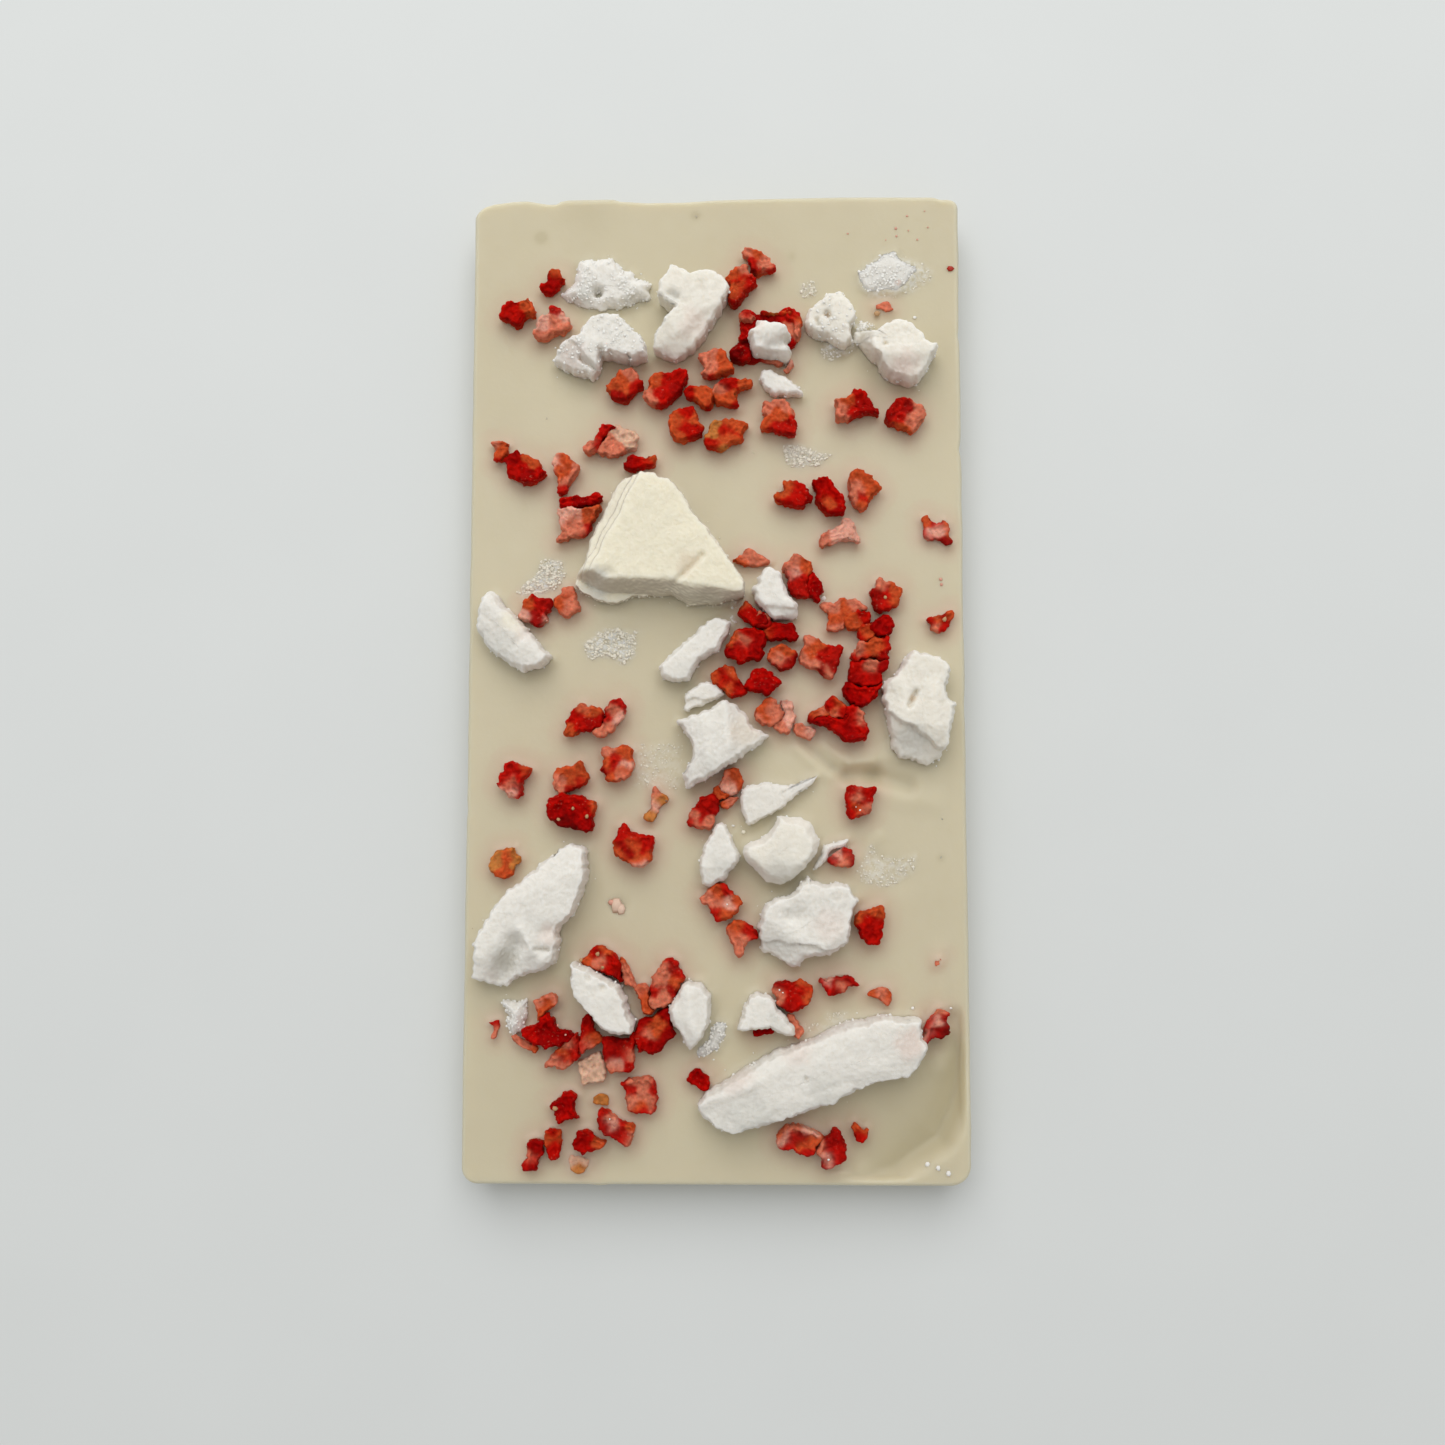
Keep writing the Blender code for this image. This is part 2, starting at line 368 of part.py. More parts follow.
def keep_largest_body(item):
    """Drops the loose scraps that a cut leaves, so that one body stays."""
    bm = bmesh.new()
    bm.from_mesh(item.data)
    waiting = set(bm.verts)
    bodies = []
    while waiting:
        start = waiting.pop()
        body = {start}
        front = [start]
        while front:
            vert = front.pop()
            for edge in vert.link_edges:
                other = edge.other_vert(vert)
                if other not in body:
                    body.add(other)
                    front.append(other)
        waiting -= body
        bodies.append(body)
    bodies.sort(key=len)
    for body in bodies[:-1]:
        bmesh.ops.delete(bm, geom=list(body), context="VERTS")
    bm.to_mesh(item.data)
    bm.free()


def main():
    clear_objects()
    parts = new_collection("white_chocolate_bar")
    dice = new_collection("fruit_dice")
    sockets = new_collection("meringue_sockets")
    slab = bar(parts, finish_material("white_chocolate", (0.60, 0.52, 0.36), 0.42))
    for number, place in enumerate(FRUITS):
        fruit_die(number, place, dice)
    finishes = {WHITE: finish_material("white_meringue", WHITE, 0.85),
                CREAM: finish_material("cream_meringue", CREAM, 0.85)}
    for number, piece in enumerate(MERINGUES, start=1):
        bm, middle = meringue_mesh(piece, 0.0)
        add_object(f"meringue_{number:02d}", bm, (middle.x, middle.y, BAR_HEIGHT), parts,
                   finishes[piece["colour"]])
        bm, middle = meringue_mesh(piece, GAP)
        add_object(f"socket_{number:02d}", bm, (middle.x, middle.y, BAR_HEIGHT), sockets)
    boolean(slab, "UNION", dice)
    boolean(slab, "DIFFERENCE", sockets)
    apply_modifiers(slab)
    remove_collection(dice)
    remove_collection(sockets)
    keep_largest_body(slab)


main()
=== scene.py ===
# White chocolate bar strewn with broken meringue and dried strawberry.
# Sizes are in millimetres in the bar's own frame: origin at the middle of the underside, +X across the bar,
# +Y along it, +Z up. They turn into metres when a mesh is made.

import math
from itertools import product

import bpy
import numpy as np
from mathutils import Matrix, Vector


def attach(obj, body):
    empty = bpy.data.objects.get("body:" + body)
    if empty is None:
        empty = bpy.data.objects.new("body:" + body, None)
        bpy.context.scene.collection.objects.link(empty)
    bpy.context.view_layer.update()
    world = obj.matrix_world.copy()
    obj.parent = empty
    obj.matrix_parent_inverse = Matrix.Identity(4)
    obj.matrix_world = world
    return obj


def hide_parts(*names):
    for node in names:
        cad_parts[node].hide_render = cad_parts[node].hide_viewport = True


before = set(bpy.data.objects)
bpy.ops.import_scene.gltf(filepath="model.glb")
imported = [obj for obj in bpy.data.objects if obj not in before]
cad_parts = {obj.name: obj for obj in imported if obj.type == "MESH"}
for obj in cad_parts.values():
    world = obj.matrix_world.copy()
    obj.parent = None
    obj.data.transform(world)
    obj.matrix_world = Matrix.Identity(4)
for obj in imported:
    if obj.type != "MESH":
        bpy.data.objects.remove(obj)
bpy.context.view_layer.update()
scene = bpy.context.scene
millimetre = 0.001
faceHeight = 8.0
spin = np.array(Matrix.Rotation(0.7, 3, "X") @ Matrix.Rotation(0.5, 3, "Y") @ Matrix.Rotation(0.9, 3, "Z"))


# Noise

def latticeValue(ix, iy, iz, seed):
    # a scrambled whole number made from a lattice point's three indices and the seed, as 0 to 1
    n = (ix * 374761393 + iy * 668265263 + iz * 1274126177 + seed * 97531) & 0xffffffff
    n = ((n ^ (n >> 13)) * 1274126177) & 0xffffffff
    n = ((n ^ (n >> 15)) * 668265263) & 0xffffffff
    return ((n ^ (n >> 16)) & 0xffff) / 65535.0


def softNoise(points, size, seed):
    # the values at the corners of the cell a point lies in, mixed by 3f^2 - 2f^3 of its place f; -1 to 1
    q = points / size + 0.37 * seed
    cell = np.floor(q).astype(np.int64)
    f = q - cell
    f = f * f * (3 - 2 * f)
    total = np.zeros(points.shape[:-1])
    for dx, dy, dz in product((0, 1), repeat=3):
        share = ((f[..., 0] if dx else 1 - f[..., 0]) * (f[..., 1] if dy else 1 - f[..., 1])
                 * (f[..., 2] if dz else 1 - f[..., 2]))
        total += share * latticeValue(cell[..., 0] + dx, cell[..., 1] + dy, cell[..., 2] + dz, seed)
    return 2 * total - 1


def layeredNoise(points, size, seed, layers=3, creased=False):
    # soft noise plus copies of half the size and weight, each turned so that no lattice shows; where creased,
    # each layer is 1 - 3|noise|, with sharp crests where the noise crosses nought
    total, weight, whole = 0.0, 1.0, 0.0
    for layer in range(layers):
        points = points @ spin
        noise = softNoise(points, size / 2 ** layer, seed + layer)
        total = total + weight * (1 - 3 * np.abs(noise) if creased else noise)
        whole += weight
        weight *= 0.5
    return total / whole


def cellNoise(points, size, seed):
    # distance to the nearest of the random points, one in each cell, by the size of a cell; about 0 to 1
    q = points / size
    cell = np.floor(q).astype(np.int64)
    nearest = np.full(points.shape[:-1], 9.0)
    for step in product((-1, 0, 1), repeat=3):
        home = cell + np.array(step)
        gap = 0.0
        for axis in range(3):
            spot = home[..., axis] + latticeValue(home[..., 0], home[..., 1], home[..., 2], seed + 31 * axis)
            gap = gap + (spot - q[..., axis]) ** 2
        nearest = np.minimum(nearest, gap)
    return np.sqrt(nearest)


def smooth(x, low, high):
    # 0 below low, 1 above high, 3x^2 - 2x^3 between
    x = np.clip((x - low) / (high - low), 0, 1)
    return x * x * (3 - 2 * x)


# Meshes

def segmentDistance(x, y, mark):
    # distance in plan to the line between a mark's two ends
    x1, y1, x2, y2 = mark[:4]
    dx, dy = x2 - x1, y2 - y1
    along = np.clip(((x - x1) * dx + (y - y1) * dy) / max(dx * dx + dy * dy, 1e-9), 0, 1)
    return np.hypot(x - x1 - along * dx, y - y1 - along * dy)


outlineNoise = {
    "broad": 2.6, "fine": 0.8,                      # sizes of the wobble and of the ragged noise
    "apart": 2.4, "room": 2.2, "least": 0.08,       # a neck narrower than the room gets less of both
}


def evenOutline(corners, spacing, rounding, wobble, ragged, seed):
    # walks round the corners in even steps, rounds them with a running average over the given number of
    # passes, and shifts each point outwards by coarse noise (wobble) and fine noise (ragged), both less
    # where the outline is narrow
    corners = np.array(corners, float)
    closed = np.vstack([corners, corners[:1]])
    along = np.concatenate([[0], np.cumsum(np.hypot(*np.diff(closed, axis=0).T))])
    count = 2 * max(10, int(round(along[-1] / spacing / 2)))
    steps = np.arange(count) * along[-1] / count
    ring = np.stack([np.interp(steps, along, closed[:, axis]) for axis in (0, 1)], 1)
    for _ in range(rounding):
        ring = (np.roll(ring, 1, 0) + 2 * ring + np.roll(ring, -1, 0)) / 4
    out = outward(ring)
    flat = np.column_stack([ring, np.full(count, seed * 3.7)])
    push = wobble * softNoise(flat, outlineNoise["broad"], seed)
    push = push + ragged * layeredNoise(flat, outlineNoise["fine"], seed + 7, 2)
    apart = np.abs(np.arange(count)[:, None] - np.arange(count))
    apart = np.minimum(apart, count - apart) * along[-1] / count
    between = np.hypot(ring[:, None, 0] - ring[:, 0], ring[:, None, 1] - ring[:, 1])
    room = np.where(apart > outlineNoise["apart"], between, 9.0).min(1)
    return ring + out * (push * np.clip(room / outlineNoise["room"], outlineNoise["least"], 1))[:, None]


def outward(ring):
    # the unit direction away from the outline at each point: the line between its two neighbours, turned
    # a quarter turn
    along = np.roll(ring, -1, 0) - np.roll(ring, 1, 0)
    out = np.stack([along[:, 1], -along[:, 0]], 1)
    return out / np.maximum(np.hypot(*out.T), 1e-9)[:, None]


def gapToRing(x, y, ring):
    # distance in plan to the nearest outline point, row by row
    gaps = np.empty(x.shape)
    for row in range(len(x)):
        squares = (x[row][:, None] - ring[:, 0]) ** 2 + (y[row][:, None] - ring[:, 1]) ** 2
        gaps[row] = np.sqrt(squares.min(1))
    return gaps


def gridNormals(grid, crowded=6):
    # cross product of the two directions of a grid that is closed round its second one, turned to straight
    # up on the first, crowded rows
    down = np.gradient(grid, axis=0)
    along = np.roll(grid, -1, 1) - np.roll(grid, 1, 1)
    normal = np.cross(down, along)
    normal = normal / np.maximum(np.linalg.norm(normal, axis=-1, keepdims=True), 1e-9)
    up = 1 - smooth(np.arange(len(grid)), 0, crowded)[:, None, None]
    return normal * (1 - up) + np.array([0.0, 0.0, 1.0]) * up


def spinePoints(ring, middle, share=0.8):
    # the points that the outline's points are drawn towards: share of the way along the longer axis through
    # the middle, held within share * (half length - half width)
    spread = ring - middle
    values, axes = np.linalg.eigh(spread.T @ spread)
    along, across = spread @ axes[:, 1], spread @ axes[:, 0]
    half = np.minimum(along.max(), -along.min()) - max(across.max(), -across.min())
    held = np.clip(along * share, -max(half, 0) * share, max(half, 0) * share)
    return middle + held[:, None] * axes[:, 1]


def toppingGrid(ring, middle, spacing, heightAt, foot, tuck):
    # rings of points: first from the spine out to the outline, at 1 - (1 - step)^1.35 of the way and at
    # heightAt(x, y, gap to the outline), then down the wall to the foot, drawn in by tuck * (depth)^1.5
    spine = spinePoints(ring, middle)
    reach = np.hypot(*(ring - spine).T).max()
    rows = int(np.ceil(reach / spacing))
    t = 1 - (1 - (np.arange(rows) + 0.3) / (rows - 0.7)) ** 1.35
    x = spine[:, 0] + t[:, None] * (ring[:, 0] - spine[:, 0])
    y = spine[:, 1] + t[:, None] * (ring[:, 1] - spine[:, 1])
    top = heightAt(x, y, gapToRing(x, y, ring))
    rim = top[-1]
    rows = max(3, int(np.ceil((rim.max() - foot) / (1.15 * spacing))))
    w = np.arange(1, rows + 1)[:, None] / rows
    inset = (tuck * w ** 1.5)[..., None] * outward(ring)
    wall = np.concatenate([ring - inset, (rim + (foot - rim) * w)[..., None]], -1)
    return np.concatenate([np.stack([x, y, top], -1), wall]), len(x)


def ringQuads(index):
    # quads between neighbouring rows of point numbers, each row closed on itself
    a, b = index[:-1], index[1:]
    return np.stack([a, b, np.roll(b, -1, 1), np.roll(a, -1, 1)], -1).reshape(-1, 4)


def fanTo(ring, point):
    # triangles from a closed row of point numbers to one point
    return np.stack([ring, np.full(len(ring), point), np.roll(ring, -1)], -1)


def pushedOut(grid, push):
    # each point moved along the surface's normal, but for the two lowest rows, and all lifted onto the face
    push[-2:] = 0
    grid = grid + gridNormals(grid) * push[..., None]
    grid[..., 2] += faceHeight
    return grid


def closedMesh(grid, middle):
    # faces between the rings, quads that join the two long sides of the first ring across the spine, and a
    # fan to one point at the bottom
    rows, count = grid.shape[:2]
    co = np.vstack([grid.reshape(-1, 3), grid[-1].mean(0)])
    index = np.arange(rows * count).reshape(rows, count)
    end = np.hypot(*(grid[0, :, :2] - middle).T).argmax()
    first, half = np.roll(index[0], -end), count // 2
    one, other = first[1:half], first[:half:-1]
    quads = np.vstack([ringQuads(index), np.stack([one[:-1], one[1:], other[1:], other[:-1]], -1)])
    tips = [(first[0], first[1], first[-1]), (first[half - 1], first[half], first[half + 1])]
    return co, quads, np.vstack([tips, fanTo(index[-1], rows * count)])


def lumpMesh(places, sizes, seed, flatness=0.6, unevenness=0.35):
    # one small ball to each place, r(1 + unevenness * noise) in every direction, lower than wide by flatness
    rings, columns = 3, 6
    across = np.pi * np.arange(1, rings + 1) / (rings + 1)
    turn = 2 * np.pi * np.arange(columns) / columns
    ball = np.stack(np.broadcast_arrays(np.sin(across)[:, None] * np.cos(turn),
                                        np.sin(across)[:, None] * np.sin(turn),
                                        np.cos(across)[:, None]), -1).reshape(-1, 3)
    ball = np.vstack([ball, [0, 0, 1], [0, 0, -1]])
    places, sizes = np.asarray(places, float), np.asarray(sizes, float)
    draw = np.random.default_rng(seed)
    stretch = draw.uniform(0.7, 1.25, (len(places), 1, 3)) * np.array([1, 1, flatness])
    around = ball[None] * 1.1 + 7.3 * np.arange(len(places))[:, None, None]
    bulge = 1 + unevenness * softNoise(around, 1.0, seed)
    points = places[:, None] + sizes[:, None, None] * 0.5 * ball * stretch * bulge[..., None]
    index = np.arange(rings * columns).reshape(rings, columns)
    crown = np.stack([np.full(columns, len(ball) - 2), index[0], np.roll(index[0], -1)], -1)
    fans = np.concatenate([crown, fanTo(index[-1], len(ball) - 1)])
    start = len(ball) * np.arange(len(places))[:, None, None]
    return points.reshape(-1, 3), (ringQuads(index) + start).reshape(-1, 4), (fans + start).reshape(-1, 3)


def insideOutline(x, y, corners):
    # a point is inside where a line from it crosses the outline an odd number of times
    corners = np.array(corners, float)
    after = np.roll(corners, -1, 0)
    spans = (corners[:, 1] > y[..., None]) != (after[:, 1] > y[..., None])
    slope = (after[:, 0] - corners[:, 0]) / np.where(after[:, 1] == corners[:, 1], 1e-9,
                                                     after[:, 1] - corners[:, 1])
    crossing = corners[:, 0] + (y[..., None] - corners[:, 1]) * slope
    return ((spans & (x[..., None] < crossing)).sum(-1) % 2) == 1


def addMesh(name, parts, material, attributes=None):
    # joins parts of (points, quads, triangles) in one object, with one list of attribute arrays per name
    points = np.vstack([part[0] for part in parts])
    start = np.cumsum([0] + [len(part[0]) for part in parts])
    quads = np.vstack([part[1] + s for part, s in zip(parts, start)]).astype(np.int32)
    fans = np.vstack([part[2] + s for part, s in zip(parts, start)]).astype(np.int32)
    mesh = bpy.data.meshes.new(name)
    mesh.vertices.add(len(points))
    mesh.vertices.foreach_set("co", (points * millimetre).astype(np.float32).ravel())
    loops = np.concatenate([quads.ravel(), fans.ravel()])
    mesh.loops.add(len(loops))
    mesh.loops.foreach_set("vertex_index", loops)
    mesh.polygons.add(len(quads) + len(fans))
    starts = np.concatenate([np.arange(len(quads)) * 4, len(quads) * 4 + np.arange(len(fans)) * 3])
    mesh.polygons.foreach_set("loop_start", starts.astype(np.int32))
    mesh.update(calc_edges=True)
    mesh.polygons.foreach_set("use_smooth", np.ones(len(mesh.polygons), bool))
    for key, values in (attributes or {}).items():
        values = np.concatenate(values)
        if values.ndim == 2:
            data = mesh.color_attributes.new(key, "FLOAT_COLOR", "POINT").data
            values = np.column_stack([values, np.ones(len(values))])
            data.foreach_set("color", values.astype(np.float32).ravel())
        else:
            mesh.attributes.new(key, "FLOAT", "POINT").data.foreach_set("value", values.astype(np.float32))
    mesh.validate()
    mesh.materials.append(material)
    item = bpy.data.objects.new(name, mesh)
    scene.collection.objects.link(item)
    print(name, 2 * len(quads) + len(fans), "triangles")
    return item


# Materials

class Shader:
    # a Principled material that reads Object coordinates, with short calls for its nodes and links
    def __init__(self, name):
        self.material = bpy.data.materials.new(name)
        self.material.use_nodes = True
        self.tree = self.material.node_tree
        self.principled = self.tree.nodes["Principled BSDF"]
        self.place = self.tree.nodes.new("ShaderNodeTexCoord").outputs["Object"]

    def set(self, **values):
        for key, value in values.items():
            self.principled.inputs[key.replace("_", " ")].default_value = value

    def node(self, kind, links=None, **values):
        made = self.tree.nodes.new("ShaderNode" + kind)
        for key, value in values.items():
            if key in made.inputs.keys():
                made.inputs[key].default_value = value
            else:
                setattr(made, key, value)
        for socket, source in (links or {}).items():
            self.tree.links.new(source, made.inputs[socket])
        return made

    def noise(self, scale, detail=3.0, roughness=0.55):
        return self.node("TexNoise", {"Vector": self.place}, Scale=scale, Detail=detail,
                         Roughness=roughness).outputs["Fac"]

    def mix(self, factor, first, second, blend="MIX"):
        made = self.node("Mix", data_type="RGBA", blend_type=blend)
        for number, source in ((0, factor), (6, first), (7, second)):
            if isinstance(source, bpy.types.NodeSocket):
                self.tree.links.new(source, made.inputs[number])
            else:
                made.inputs[number].default_value = source
        return made.outputs[2]

    def spread(self, source, low, high, start=0.0, end=1.0):
        return self.node("MapRange", {"Value": source}, **{"From Min": low, "From Max": high, "To Min": start,
                                                           "To Max": end}).outputs["Result"]

    def attribute(self, name, output="Fac"):
        return self.node("Attribute", attribute_name=name).outputs[output]

    def use(self, socket, source):
        self.tree.links.new(source, self.principled.inputs[socket])

    def bump(self, source, strength, distance):
        made = self.node("Bump", {"Height": source}, Strength=strength, Distance=distance)
        self.use("Normal", made.outputs["Normal"])


print("frame and helpers ready")


# Chocolate bar

chocolateBar = {
    "halfWidth": 38.5, "halfLength": 77.0,
    "cornerRadius": {"topLeft": 1.6, "topRight": 1.0, "bottomLeft": 1.9, "bottomRight": 2.6},
    # how far the far edge stands, with its chips and rubbed corners
    "farEdge": [(-38.5, 75.2), (-37.5, 75.8), (-35.4, 76.45), (-32.4, 76.85), (-30.3, 76.95), (-29, 76.7),
                (-27, 76.35), (-25.3, 76.35), (-24.8, 76.8), (-23.5, 77.05), (-16.5, 77.1), (-15.5, 76.75),
                (-11.1, 76.45), (-4.8, 76.5), (0, 76.8), (8, 76.95), (20, 77.1), (34.5, 76.95),
                (35.6, 76.55), (38.5, 76.5)],
    "chips": [(38.6, 54.2, 0.5, 0.30), (38.6, 36.0, 0.6, 0.35), (-38.6, -20.5, 0.7, 0.25),
              (-17.5, -77.1, 0.6, -0.25)],
    "rim": 0.55, "draft": 1.4, "foot": 1.6, "coreInset": 4.4,
    "gridStep": 0.40, "endReach": 3.0, "endRows": 12,     # rows of the face, crowded within reach of the ends
    "farReach": 4, "waver": (0.12, 4.0, 2),        # the far edge's reach into the face; the long edges' waver
    # a dished part: the curve of its far bank, how deep it is there and how long it takes to rise again
    "dish": {"bank": [(35.7, -53.5), (36.6, -57.4), (36.8, -60), (36.2, -63.1), (35.5, -65.5), (33.5, -69.6),
                      (30.2, -71.7), (26.9, -73.9), (22, -74.8)],
             "inner": [(12, -75), (16, -66), (26, -58)], "depth": 2.5, "rise": 5.5, "bankWidth": 3.8,
             "ease": (13, 25), "steps": 120, "reach": (22, 8)},
    "lip": (0.02, 1.0, 0.5),       # height, width and place of the raised edge
    "creep": (0.45, 0.55, 1.3),    # how high, how far and how steeply the chocolate climbs a topping
    "fades": (3, 0.9, 1),          # how far in from the edge the swells, the dish and the climb are whole
    "powderBumps": (0.22, 0.35, 0.8),              # by cover, by heap, and their size
    "swells": [(24.0, 0.10), (7.0, 0.035)],
    # ridges and hollows poured into the face: x1, y1, x2, y2, width, height
    "ridges": [(20.6, -13.4, 24.2, -13.1, 0.5, 0.30), (19.5, -12.6, 27.5, -12.4, 1.5, 0.42),
               (20.5, -15.0, 24.5, -15.0, 1.2, -0.95), (24.5, -15.2, 29.5, -16.6, 1.5, -0.75),
               (26.5, -18.0, 33.5, -19.5, 1.8, 0.25), (13.2, -10.0, 18, -14.0, 0.8, -0.30),
               (18, -14.0, 20.8, -16.2, 0.8, -0.25), (12.8, -11.2, 17.3, -15.2, 0.9, 0.25),
               (17, -10.8, 20.3, -13.2, 0.8, 0.28), (20.5, -18.8, 22.5, -16.8, 0.8, 0.18),
               (34.2, -58.4, 34.2, -58.9, 1.6, 0.45),
               (34, -42, 34, -50, 1.4, 0.14), (-33, -60, -20, -76, 6.0, -0.10),
               (23.5, -27, 28, -31, 1.6, -0.25),
               (20, -30, 25, -24.5, 0.9, 0.22), (-15, -35.2, -14.4, -35, 1.2, -0.3)],
    # tanned places: x, y, radius and strength of each
    "tans": [(-27.9, 70.7, 0.8, 1.8), (-3.2, 74.2, 0.65, 1.4), (12.1, 67.2, 0.7, 0.5),
             (34.5, -27.9, 0.6, 0.7), (-20.1, 75.2, 3.5, 0.3), (36.1, 51.5, 3.0, 0.35)],
    "farTan": (25, 62, 0.33),      # the face is a little tanner towards the far end: from, to, strength
    "tanLimits": (37.8, 76.2),     # how far out the tanned places reach, across and along
    "fruitShadeFrom": (4.0, 6.5),       # the height from which the painted shade and red light round the fruit show
    "fruitShadeReach": (1.5, 0.6, 3.0, 1.2, 2.9),       # how far the painted shade and red light reach, its noise and the noise's size, fall, limit
    "rimShadeReach": 0.5, "shadeDepth": 1.5,           # width of the painted grey shade on the rim; depth at which a hollow is wholly painted shade
}


def cornerInset(fromEnd, radius):
    # r - sqrt(r^2 - (r - d)^2) within a corner's radius of the end
    d = np.clip(radius - fromEnd, 0, radius)
    return radius - np.sqrt(np.maximum(radius ** 2 - d ** 2, 0))


def faceGrid(bar):
    # rows across the bar between its two long edges; near the ends they lie at reach * (1 - cos(turn)) for
    # equal turns, and follow the corner arcs; a chip draws the edge in by depth * exp(-(d/size)^2)
    w, l = bar["halfWidth"] - bar["rim"], bar["halfLength"] - bar["rim"]
    end = bar["endReach"]
    arc = end * (1 - np.cos(np.linspace(0, math.pi / 2, bar["endRows"])[:-1]))
    inner = np.linspace(end, 2 * l - end, int((2 * l - 2 * end) / bar["gridStep"]) + 1)
    fromEnd = np.concatenate([arc, inner, 2 * l - arc[::-1]])
    y = fromEnd - l
    radius = bar["cornerRadius"]
    left = -w + cornerInset(fromEnd, radius["bottomLeft"]) + cornerInset(2 * l - fromEnd, radius["topLeft"])
    right = w - cornerInset(fromEnd, radius["bottomRight"]) - cornerInset(2 * l - fromEnd, radius["topRight"])
    across = np.linspace(0, 1, int(2 * w / bar["gridStep"]) + 1)
    x = left[:, None] + (right - left)[:, None] * across
    y = np.broadcast_to(y[:, None], x.shape)
    far = np.interp(x, *np.array(bar["farEdge"]).T) - bar["halfLength"]
    y = y + far * smooth(y, l - bar["farReach"], l)
    flat = np.stack([x, y, 0 * x], -1)
    waver, size, reach = bar["waver"]
    x = x + waver * np.sign(x) * softNoise(flat, size, 3) * smooth(np.abs(x), w - reach, w)
    for px, py, size, depth in bar["chips"]:
        near = depth * np.exp(-((x - px) ** 2 + (y - py) ** 2) / (size + 0.4) ** 2)
        x, y = x - np.sign(px) * near * (abs(px) > w), y - np.sign(py) * near * (abs(py) > l)
    return x, y


def gapToOutlines(x, y, rings, reach):
    # distance in plan from every point to the nearest of the outlines, or the reach where all lie farther
    gaps = np.full(x.shape, float(reach))
    for ring in rings:
        low, high = ring.min(0) - reach, ring.max(0) + reach
        near = (x > low[0]) & (x < high[0]) & (y > low[1]) & (y < high[1])
        if near.any():
            found = np.sqrt(((x[near][:, None] - ring[:, 0]) ** 2
                             + (y[near][:, None] - ring[:, 1]) ** 2).min(1))
            gaps[near] = np.minimum(gaps[near], found)
    return gaps


def powderShare(x, y):
    # how much powder covers a point, and how high it is heaped: both fall to 0 just outside a patch's outline
    share, heap = np.zeros(x.shape), np.zeros(x.shape)
    for patch in crumbPatches:
        ring = evenOutline(patch["outline"], *powderFinish["outline"], 3)
        gap = gapToOutlines(x, y, [ring], powderFinish["reach"])
        signed = np.where(insideOutline(x, y, ring), gap, -gap)
        inside = smooth(signed, *powderFinish["fade"])
        share = np.maximum(share, patch["cover"] * inside)
        heap = np.maximum(heap, patch.get("heap", powderFinish["heap"]) * inside)
    return share, heap


def dishRelief(dish, x, y):
    # depth exp(-d/rise) on the inner side of the bank and a smooth step up on the outer side, where d is the
    # distance to the bank; the depth runs out at the bank's two ends, and along x it eases in
    bank = np.array(dish["bank"], float)
    t = np.linspace(0, len(bank) - 1, dish["steps"])
    curve = np.column_stack([np.interp(t, np.arange(len(bank)), bank[:, axis]) for axis in (0, 1)])
    depth = dish["depth"] * np.sqrt(np.sin(np.pi * np.linspace(0.001, 0.999, dish["steps"])))
    near = (x > curve[:, 0].min() - dish["reach"][0]) & (y < curve[:, 1].max() + dish["reach"][1])
    relief = np.zeros(x.shape)
    squares = (x[near][:, None] - curve[:, 0]) ** 2 + (y[near][:, None] - curve[:, 1]) ** 2
    gap = np.sqrt(squares.min(1))
    local = (depth / (squares + 0.5)).sum(1) / (1 / (squares + 0.5)).sum(1)
    inner = insideOutline(x[near], y[near], dish["bank"] + dish["inner"])
    relief[near] = -local * np.where(inner, np.exp(-gap / dish["rise"]),
                                     1 - smooth(gap, 0, dish["bankWidth"]))
    relief *= smooth(x, *dish["ease"])
    return relief


def faceRelief(bar, x, y, gaps):
    # long swells, poured ridges exp(-(d/width)^2), the dished part, a raised lip at the edge, bumps in the
    # powdered patches, and the climb height * exp(-(gap/reach)^steepness) up the toppings
    flat = np.stack([x, y, np.zeros_like(x)], -1)
    relief = sum(rise * layeredNoise(flat, size, 11 + n) for n, (size, rise) in enumerate(bar["swells"]))
    for ridge in bar["ridges"]:
        relief = relief + ridge[5] * np.exp(-(segmentDistance(x, y, ridge) / ridge[4]) ** 2)
    edge = np.minimum(bar["halfWidth"] - np.abs(x), bar["halfLength"] - np.abs(y)) - bar["rim"]
    swells, dish, climb = [smooth(edge, 0, reach) for reach in bar["fades"]]
    relief = relief * swells + dishRelief(bar["dish"], x, y) * dish
    share, heap = powderShare(x, y)
    byCover, byHeap, size = bar["powderBumps"]
    relief = relief + heap + (byCover * share + byHeap * heap) * layeredNoise(flat, size, 17, 2)
    height, width, place = bar["lip"]
    relief = relief + height * np.exp(-((edge - place) / width) ** 2)
    height, reach, steepness = bar["creep"]
    return relief + height * np.exp(-(gaps / reach) ** steepness) * climb


